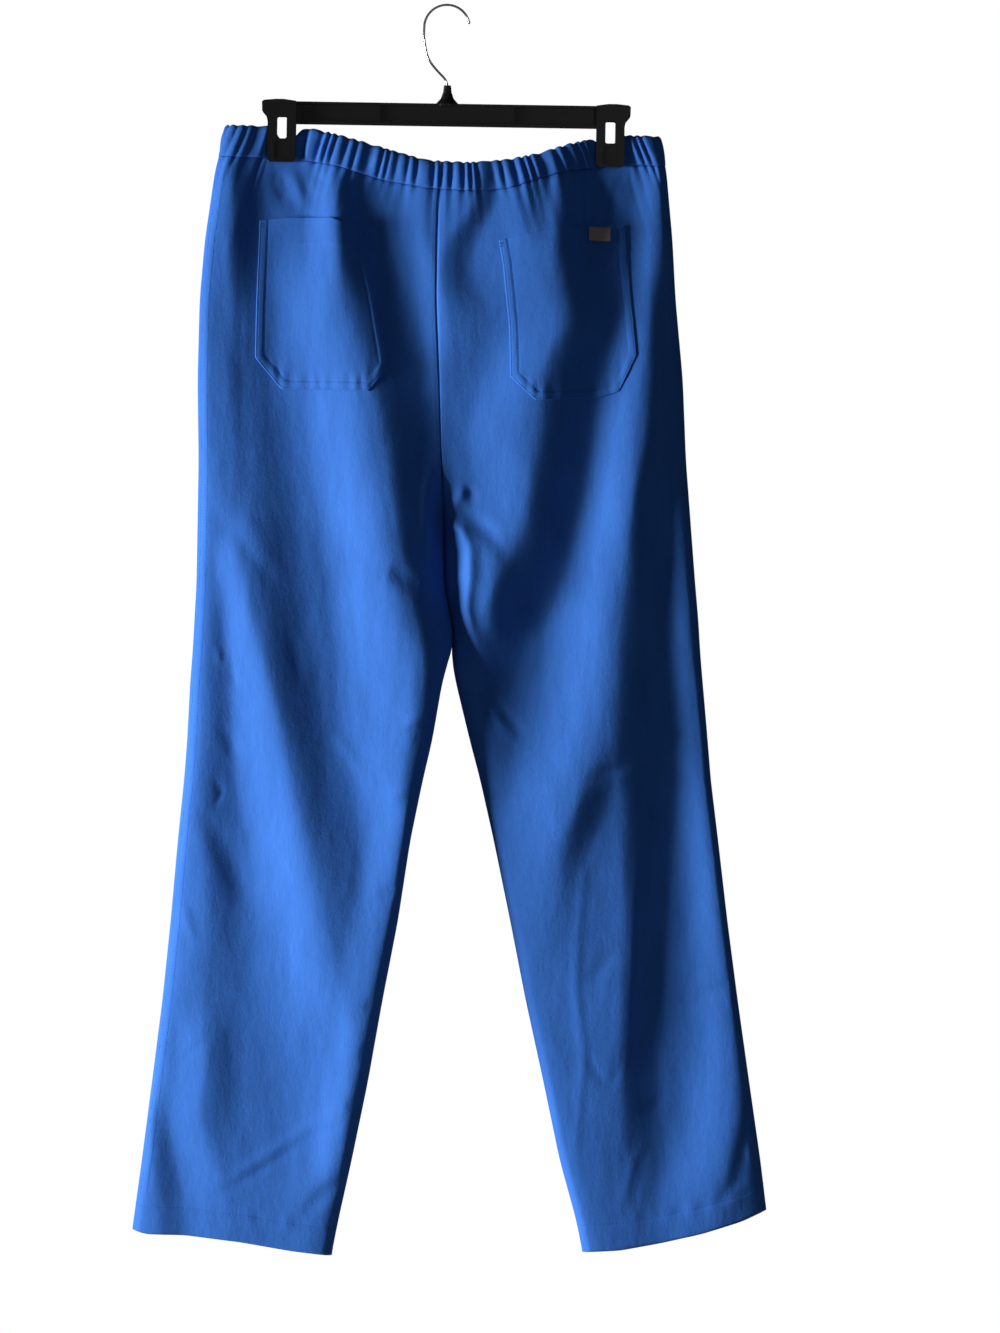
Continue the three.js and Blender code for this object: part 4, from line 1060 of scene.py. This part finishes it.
def stitch_row(points, normals):
    """Vertices and faces of the stitches along one line of surface points."""
    lengths = np.concatenate([[0], np.cumsum(np.linalg.norm(np.diff(points, axis=0), axis=1))])
    count = int(lengths[-1] // STITCH_PITCH)
    vertices, faces = [], []
    profile = [(-0.5, 0.35, -0.32), (-0.28, 0.9, 0.02), (0.28, 0.9, 0.02), (0.5, 0.35, -0.32)]
    for number in range(count):
        middle = (number + 0.5) * STITCH_PITCH
        centre = np.array([np.interp(middle, lengths, points[:, k]) for k in range(3)])
        ahead = np.array([np.interp(middle + 1, lengths, points[:, k]) for k in range(3)])
        normal = np.array([np.interp(middle, lengths, normals[:, k]) for k in range(3)])
        run = ahead - centre
        run /= max(np.linalg.norm(run), 1e-6)
        aside = np.cross(run, normal)
        aside /= max(np.linalg.norm(aside), 1e-6)
        up = np.cross(aside, run)
        start = len(vertices)
        for place, size, lift in profile:
            ring_centre = centre + run * place * STITCH_LENGTH + up * (lift + 0.1)
            for corner in range(STITCH_SIDES):
                angle = 2 * math.pi * corner / STITCH_SIDES
                reach = aside * math.cos(angle) + up * 0.8 * math.sin(angle)
                vertices.append(ring_centre + reach * STITCH_RADIUS * size)
        for ring in range(len(profile) - 1):
            for corner in range(STITCH_SIDES):
                a = start + ring * STITCH_SIDES + corner
                b = start + ring * STITCH_SIDES + (corner + 1) % STITCH_SIDES
                faces.append([a, b, b + STITCH_SIDES, a + STITCH_SIDES])
        faces.append([start + corner for corner in reversed(range(STITCH_SIDES))])
        last = start + (len(profile) - 1) * STITCH_SIDES
        faces.append([last + corner for corner in range(STITCH_SIDES)])
    return vertices, faces


def line_on_grid(points, path):
    """Points and outward directions of a grid of the back, along a path given in x and z."""
    normals = grid_normals(points)
    normals *= -np.sign(normals[..., 1:2])
    corners = points.reshape(-1, 3)
    path = np.asarray(path, float)
    gaps = (corners[None, :, 0] - path[:, None, 0]) ** 2 + (corners[None, :, 2] - path[:, None, 1]) ** 2
    nearest = np.argsort(gaps, axis=1)[:, :4]
    weights = 1 / (np.take_along_axis(gaps, nearest, 1) + 0.05)
    weights /= weights.sum(axis=1, keepdims=True)
    found = (corners[nearest] * weights[..., None]).sum(axis=1)
    found[:, 0] = path[:, 0]
    found[:, 2] = path[:, 1]
    outward = (normals.reshape(-1, 3)[nearest] * weights[..., None]).sum(axis=1)
    return found, outward / np.linalg.norm(outward, axis=1, keepdims=True)


def inset_border(side, inset):
    """The stitched border of a pocket moved inwards, down one side, along the bottom and up."""
    edges = POCKETS[side]
    first, last = ("outer", "inner") if side == LEFT else ("inner", "outer")
    border = np.array(edges[first] + edges["bottom"][1:] + edges[last][::-1][1:], float)
    border = resample(border, np.linspace(0, 1, 300))
    runs = np.gradient(border, axis=0)
    runs /= np.linalg.norm(runs, axis=1, keepdims=True)
    moved = border + inset * np.stack([-runs[:, 1], runs[:, 0]], 1)
    reach = np.linalg.norm(moved[:, None] - border[None], axis=2).min(axis=1)
    return moved[reach > inset - 0.3]


def stitch_object(name, rows):
    vertices, faces = [], []
    for points, normals in rows:
        row_vertices, row_faces = stitch_row(points, normals)
        faces += [[index + len(vertices) for index in face] for face in row_faces]
        vertices += row_vertices
    return new_object(name, np.array(vertices), faces, thread_material)


def grid_line(side, face, row):
    """One row of points taken from a panel's own grid, with normals."""
    points = panel_points[side, face]
    normals = grid_normals(points) * (-side * face)
    return points[row], normals[row]


CENTRE_STITCH = 4.8
SIDE_STITCHES = (3.5, 9.5)
TACK_WIDTH = 2.4
TACK_LINES = 5
WAIST_STITCH_ROW = 2
HEM_STITCH_UP = HEM_HEIGHT - 1.5

stitch_pieces = []
for side_name, side in (("left", LEFT), ("right", RIGHT)):
    hem_row = -1 - round(HEM_ROW_COUNT * HEM_STITCH_UP / (HEM_HEIGHT + ABOVE_HEM))
    hem_rows = [grid_line(side, face, hem_row) for face in (BACK, FRONT)]
    stitch_pieces.append(stitch_object(f"hem_stitches_{side_name}", hem_rows))

    waist_rows = [grid_line(side, face, WAIST_STITCH_ROW) for face in (BACK, FRONT)]
    stitch_pieces.append(stitch_object(f"waist_stitches_{side_name}", waist_rows))

    pocket_rows = [line_on_grid(pocket_points[side], inset_border(side, inset)) for inset in POCKET_STITCHES]
    for corner in (POCKETS[side]["mouth"][0], POCKETS[side]["mouth"][-1]):
        inward = 1 if corner[0] < POCKETS[side]["mouth"][2][0] else -1
        for line in range(TACK_LINES):
            x = corner[0] + inward * (1.2 + TACK_WIDTH * line / (TACK_LINES - 1))
            tack = [(x, corner[1] - 1.5), (x, corner[1] - 5.0), (x, corner[1] - 8.5)]
            pocket_rows.append(line_on_grid(pocket_points[side], tack))
    stitch_pieces.append(stitch_object(f"pocket_stitches_{side_name}", pocket_rows))

centre_z = np.linspace(-188, -478, 140)
centre_x = read_body(centre_z)["left_inner"] - CENTRE_STITCH
centre_path = np.stack([centre_x, centre_z], 1)
stitch_pieces.append(stitch_object("centre_stitches", [line_on_grid(panel_points[LEFT, BACK], centre_path)]))

side_z = np.linspace(-160, -1150, 420)
side_rows = []
for inset in SIDE_STITCHES:
    side_path = np.stack([read_body(side_z)["left_side"] + inset, side_z], 1)
    side_rows.append(line_on_grid(panel_points[LEFT, BACK], side_path))
stitch_pieces.append(stitch_object("side_stitches_left", side_rows))
print(len(stitch_pieces), "pieces of stitching")

# %% [markdown]
# The hanger is moulded in black plastic: an I-shaped bar with ribs, and at each end a clip of two
# jaws. Its CAD solids have the right shape but knife-sharp edges, which no moulding has. A copy of
# each gets small rounded edges with a bevel, because it is those that catch the light.

# %% Hanger plastic
def plastic_finish(name):
    material, nodes, links, principled = shader_nodes(name)
    place = nodes.new("ShaderNodeTexCoord").outputs["Object"]
    grain = noise(nodes, links, place, 900, 2)
    flow = noise(nodes, links, stretched(nodes, links, place, (0.2, 1.0, 1.0)), 60, 3)
    rough = combine(nodes, links, "MULTIPLY_ADD", flow.outputs["Fac"], 0.16)
    rough.node.inputs[2].default_value = 0.30
    links.new(rough, principled.inputs["Roughness"])
    principled.inputs["Base Color"].default_value = (0.004, 0.004, 0.005, 1)
    links.new(bump(nodes, links, grain.outputs["Fac"], 0.2, 0.0001), principled.inputs["Normal"])
    return material


hanger_plastic = plastic_finish("hanger_plastic")
PLASTIC_NODES = ["hanger_bar", "clip_left_rear", "clip_left_front", "clip_right_rear", "clip_right_front"]


def softened_copy(node_name, new_name, radius, material):
    """A copy of a CAD node with its edges rounded."""
    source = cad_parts[node_name]
    piece = source.copy()
    piece.data = source.data.copy()
    piece.name = new_name
    piece.parent = None
    piece.matrix_world = source.matrix_world.copy()
    bpy.context.scene.collection.objects.link(piece)
    piece.data.materials.clear()
    piece.data.materials.append(material)
    rounding = piece.modifiers.new("rounded edges", "BEVEL")
    rounding.width = radius * MM
    rounding.segments = 3
    rounding.limit_method = "ANGLE"
    rounding.angle_limit = math.radians(35)
    return piece


plastic_pieces = {}
for node_name in PLASTIC_NODES:
    plastic_pieces[node_name] = softened_copy(node_name, "moulded_" + node_name, 0.5, hanger_plastic)
print(len(plastic_pieces), "moulded pieces")

# %% [markdown]
# The hook is steel wire of about two millimetres, bent round and plated. Drawn as a tube along a
# smooth line with many sides and a rounded end, it keeps a clean highlight.

# %% Hook
def chrome_finish(name):
    material, nodes, links, principled = shader_nodes(name)
    place = nodes.new("ShaderNodeTexCoord").outputs["Object"]
    wear = noise(nodes, links, place, 700, 3)
    rough = combine(nodes, links, "MULTIPLY_ADD", wear.outputs["Fac"], 0.12)
    rough.node.inputs[2].default_value = 0.12
    links.new(rough, principled.inputs["Roughness"])
    principled.inputs["Base Color"].default_value = (0.62, 0.63, 0.65, 1)
    principled.inputs["Metallic"].default_value = 1.0
    return material


WIRE_RADIUS = 1.1
HOOK_RADIUS = 22
WIRE_SIDES = 20
HOOK_LOW = [(0, -88), (0, -82), (0, -76), (-2.2, -70.5), (-9.5, -62.5), (-15.5, -55), (-19.3, -47),
            (-21.3, -37), (-22.2, -29)]


def hook_line():
    centre = WIRE_RADIUS - HOOK_RADIUS
    angles = np.radians(np.linspace(180, 9, 15))
    loop = [(HOOK_RADIUS * math.cos(a), centre + HOOK_RADIUS * math.sin(a)) for a in angles]
    corners = np.array(HOOK_LOW + loop, float)
    before = np.concatenate([[2 * corners[0] - corners[1]], corners, [2 * corners[-1] - corners[-2]]])
    points = []
    for index in range(1, len(before) - 2):
        p0, p1, p2, p3 = before[index - 1:index + 3]
        for t in np.linspace(0, 1, 8, endpoint=False):
            points.append(0.5 * (2 * p1 + (p2 - p0) * t + (2 * p0 - 5 * p1 + 4 * p2 - p3) * t ** 2
                                 + (3 * p1 - p0 - 3 * p2 + p3) * t ** 3))
    points.append(corners[-1])
    return np.array(points)


def make_hook(name, material):
    line = hook_line()
    runs = np.gradient(line, axis=0)
    runs /= np.linalg.norm(runs, axis=1, keepdims=True)
    rings = [(line[0], runs[0], WIRE_RADIUS)]
    rings += [(point, run, WIRE_RADIUS) for point, run in zip(line[1:-1], runs[1:-1])]
    for turn in np.radians([0, 25, 45, 60, 75, 86]):
        place = line[-1] - runs[-1] * WIRE_RADIUS * (1 - math.sin(turn))
        rings.append((place, runs[-1], WIRE_RADIUS * math.cos(turn)))
    vertices, faces = [], []
    for point, run, radius in rings:
        for corner in range(WIRE_SIDES):
            angle = 2 * math.pi * corner / WIRE_SIDES
            aside = np.array([-run[1], run[0]]) * math.cos(angle) * radius
            vertices.append((point[0] + aside[0], radius * math.sin(angle), point[1] + aside[1]))
    for ring in range(len(rings) - 1):
        for corner in range(WIRE_SIDES):
            a = ring * WIRE_SIDES + corner
            b = ring * WIRE_SIDES + (corner + 1) % WIRE_SIDES
            faces.append([a, a + WIRE_SIDES, b + WIRE_SIDES, b])
    faces.append(list(range(WIRE_SIDES)))
    last = (len(rings) - 1) * WIRE_SIDES
    faces.append([last + corner for corner in reversed(range(WIRE_SIDES))])
    return new_object(name, np.array(vertices), faces, material)


hook_wire = chrome_finish("hook_wire")
hook = make_hook("wire_hook", hook_wire)
print(hook.name, len(hook.data.polygons), "faces")

# %% [markdown]
# Each piece is now tied to the part: it rides on the one body, and the CAD solid it stands for,
# if any, is hidden from view.

# %% Tie the pieces to the part
def declare_cloth(piece, node):
    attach(piece, "root")
    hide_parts(node)


for (side, face), piece in panels.items():
    side_name = "left" if side == LEFT else "right"
    face_name = "back" if face == BACK else "front"
    declare_cloth(piece, f"{face_name}_{side_name}")
for side, piece in casings.items():
    side_name = "left" if side == LEFT else "right"
    declare_cloth(piece, f"waistband_{side_name}")
for side, piece in pockets.items():
    side_name = "left" if side == LEFT else "right"
    declare_cloth(piece, f"pocket_{side_name}")
declare_cloth(tab, "pocket_tab")
for piece in stitch_pieces:
    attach(piece, "root")
for node_name, piece in plastic_pieces.items():
    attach(piece, "root")
    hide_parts(node_name)
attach(hook, "root")
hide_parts("hanger_hook")

# %% [markdown]
# The light is a big soft box far to the left, as from a window, with very little fill, so that the
# folds read by their slope. The camera looks level at the back of the trousers from six metres
# and frames them as in the photograph. The floor is far below and out of that view.

# %% Light, floor and camera
PHOTO_WIDTH = 1000
PHOTO_HEIGHT = 1333
PIXEL = 0.967 * MM
HOOK_PIXEL = (447, 6)
CAMERA_DISTANCE = 6.0
KEY_ANGLE = math.radians(75)
KEY_DISTANCE = 3.6
KEY_Z = -0.78


def area_light(name, place, target, size, power, colour=(1, 1, 1)):
    light = bpy.data.lights.new(name, "AREA")
    light.shape = "RECTANGLE"
    light.size, light.size_y = size
    light.energy = power
    light.color = colour
    lamp = bpy.data.objects.new(name, light)
    lamp.location = place
    lamp.rotation_euler = (Vector(target) - Vector(place)).to_track_quat("-Z", "Y").to_euler()
    bpy.context.scene.collection.objects.link(lamp)
    return lamp


target = (0.0, 0.0, KEY_Z)
key_place = (-KEY_DISTANCE * math.sin(KEY_ANGLE), -KEY_DISTANCE * math.cos(KEY_ANGLE), KEY_Z)
key = area_light("window", key_place, target, (1.0, 1.5), 21.5)
key.data.spread = math.radians(46)
area_light("front_fill", (0.9, -3.4, -0.2), target, (2.2, 2.2), 5)

world = bpy.data.worlds.new("studio")
bpy.context.scene.world = world
world.use_nodes = True
world_nodes, world_links = world.node_tree.nodes, world.node_tree.links
background = world_nodes["Background"]
background.inputs["Color"].default_value = (0.8, 0.88, 1.0, 1)
background.inputs["Strength"].default_value = 0.03
seen = world_nodes.new("ShaderNodeBackground")
seen.inputs["Color"].default_value = (1, 1, 1, 1)
seen.inputs["Strength"].default_value = 1.0
ray = world_nodes.new("ShaderNodeLightPath")
chooser = world_nodes.new("ShaderNodeMixShader")
world_links.new(ray.outputs["Is Camera Ray"], chooser.inputs["Fac"])
world_links.new(background.outputs["Background"], chooser.inputs[1])
world_links.new(seen.outputs["Background"], chooser.inputs[2])
world_links.new(chooser.outputs["Shader"], world_nodes["World Output"].inputs["Surface"])

FLOOR_Z = -1.7
FLOOR_RADIUS = 1200
FLOOR_CORNERS = 64
turns = np.linspace(0, 2 * np.pi, FLOOR_CORNERS, False)
floor_points = [(FLOOR_RADIUS * math.cos(a), FLOOR_RADIUS * math.sin(a), FLOOR_Z / MM) for a in turns]
floor_material, _, _, floor_shader = shader_nodes("pale_floor")
floor_shader.inputs["Base Color"].default_value = (0.82, 0.82, 0.82, 1)
floor_shader.inputs["Roughness"].default_value = 0.7
floor = new_object("floor", np.array(floor_points), [list(range(FLOOR_CORNERS))], floor_material)

camera_data = bpy.data.cameras.new("camera")
camera = bpy.data.objects.new("camera", camera_data)
bpy.context.scene.collection.objects.link(camera)
centre_x = (PHOTO_WIDTH / 2 - HOOK_PIXEL[0]) * PIXEL
centre_z = -(PHOTO_HEIGHT / 2 - HOOK_PIXEL[1]) * PIXEL
camera.location = (centre_x, -CAMERA_DISTANCE, centre_z)
camera.rotation_euler = (math.pi / 2, 0, 0)
camera_data.sensor_fit = "VERTICAL"
camera_data.sensor_height = 24
camera_data.lens = camera_data.sensor_height * CAMERA_DISTANCE / (PHOTO_HEIGHT * PIXEL)
bpy.context.scene.camera = camera
bpy.context.scene.view_settings.view_transform = "Standard"
print("lens", round(camera_data.lens, 1), "mm")
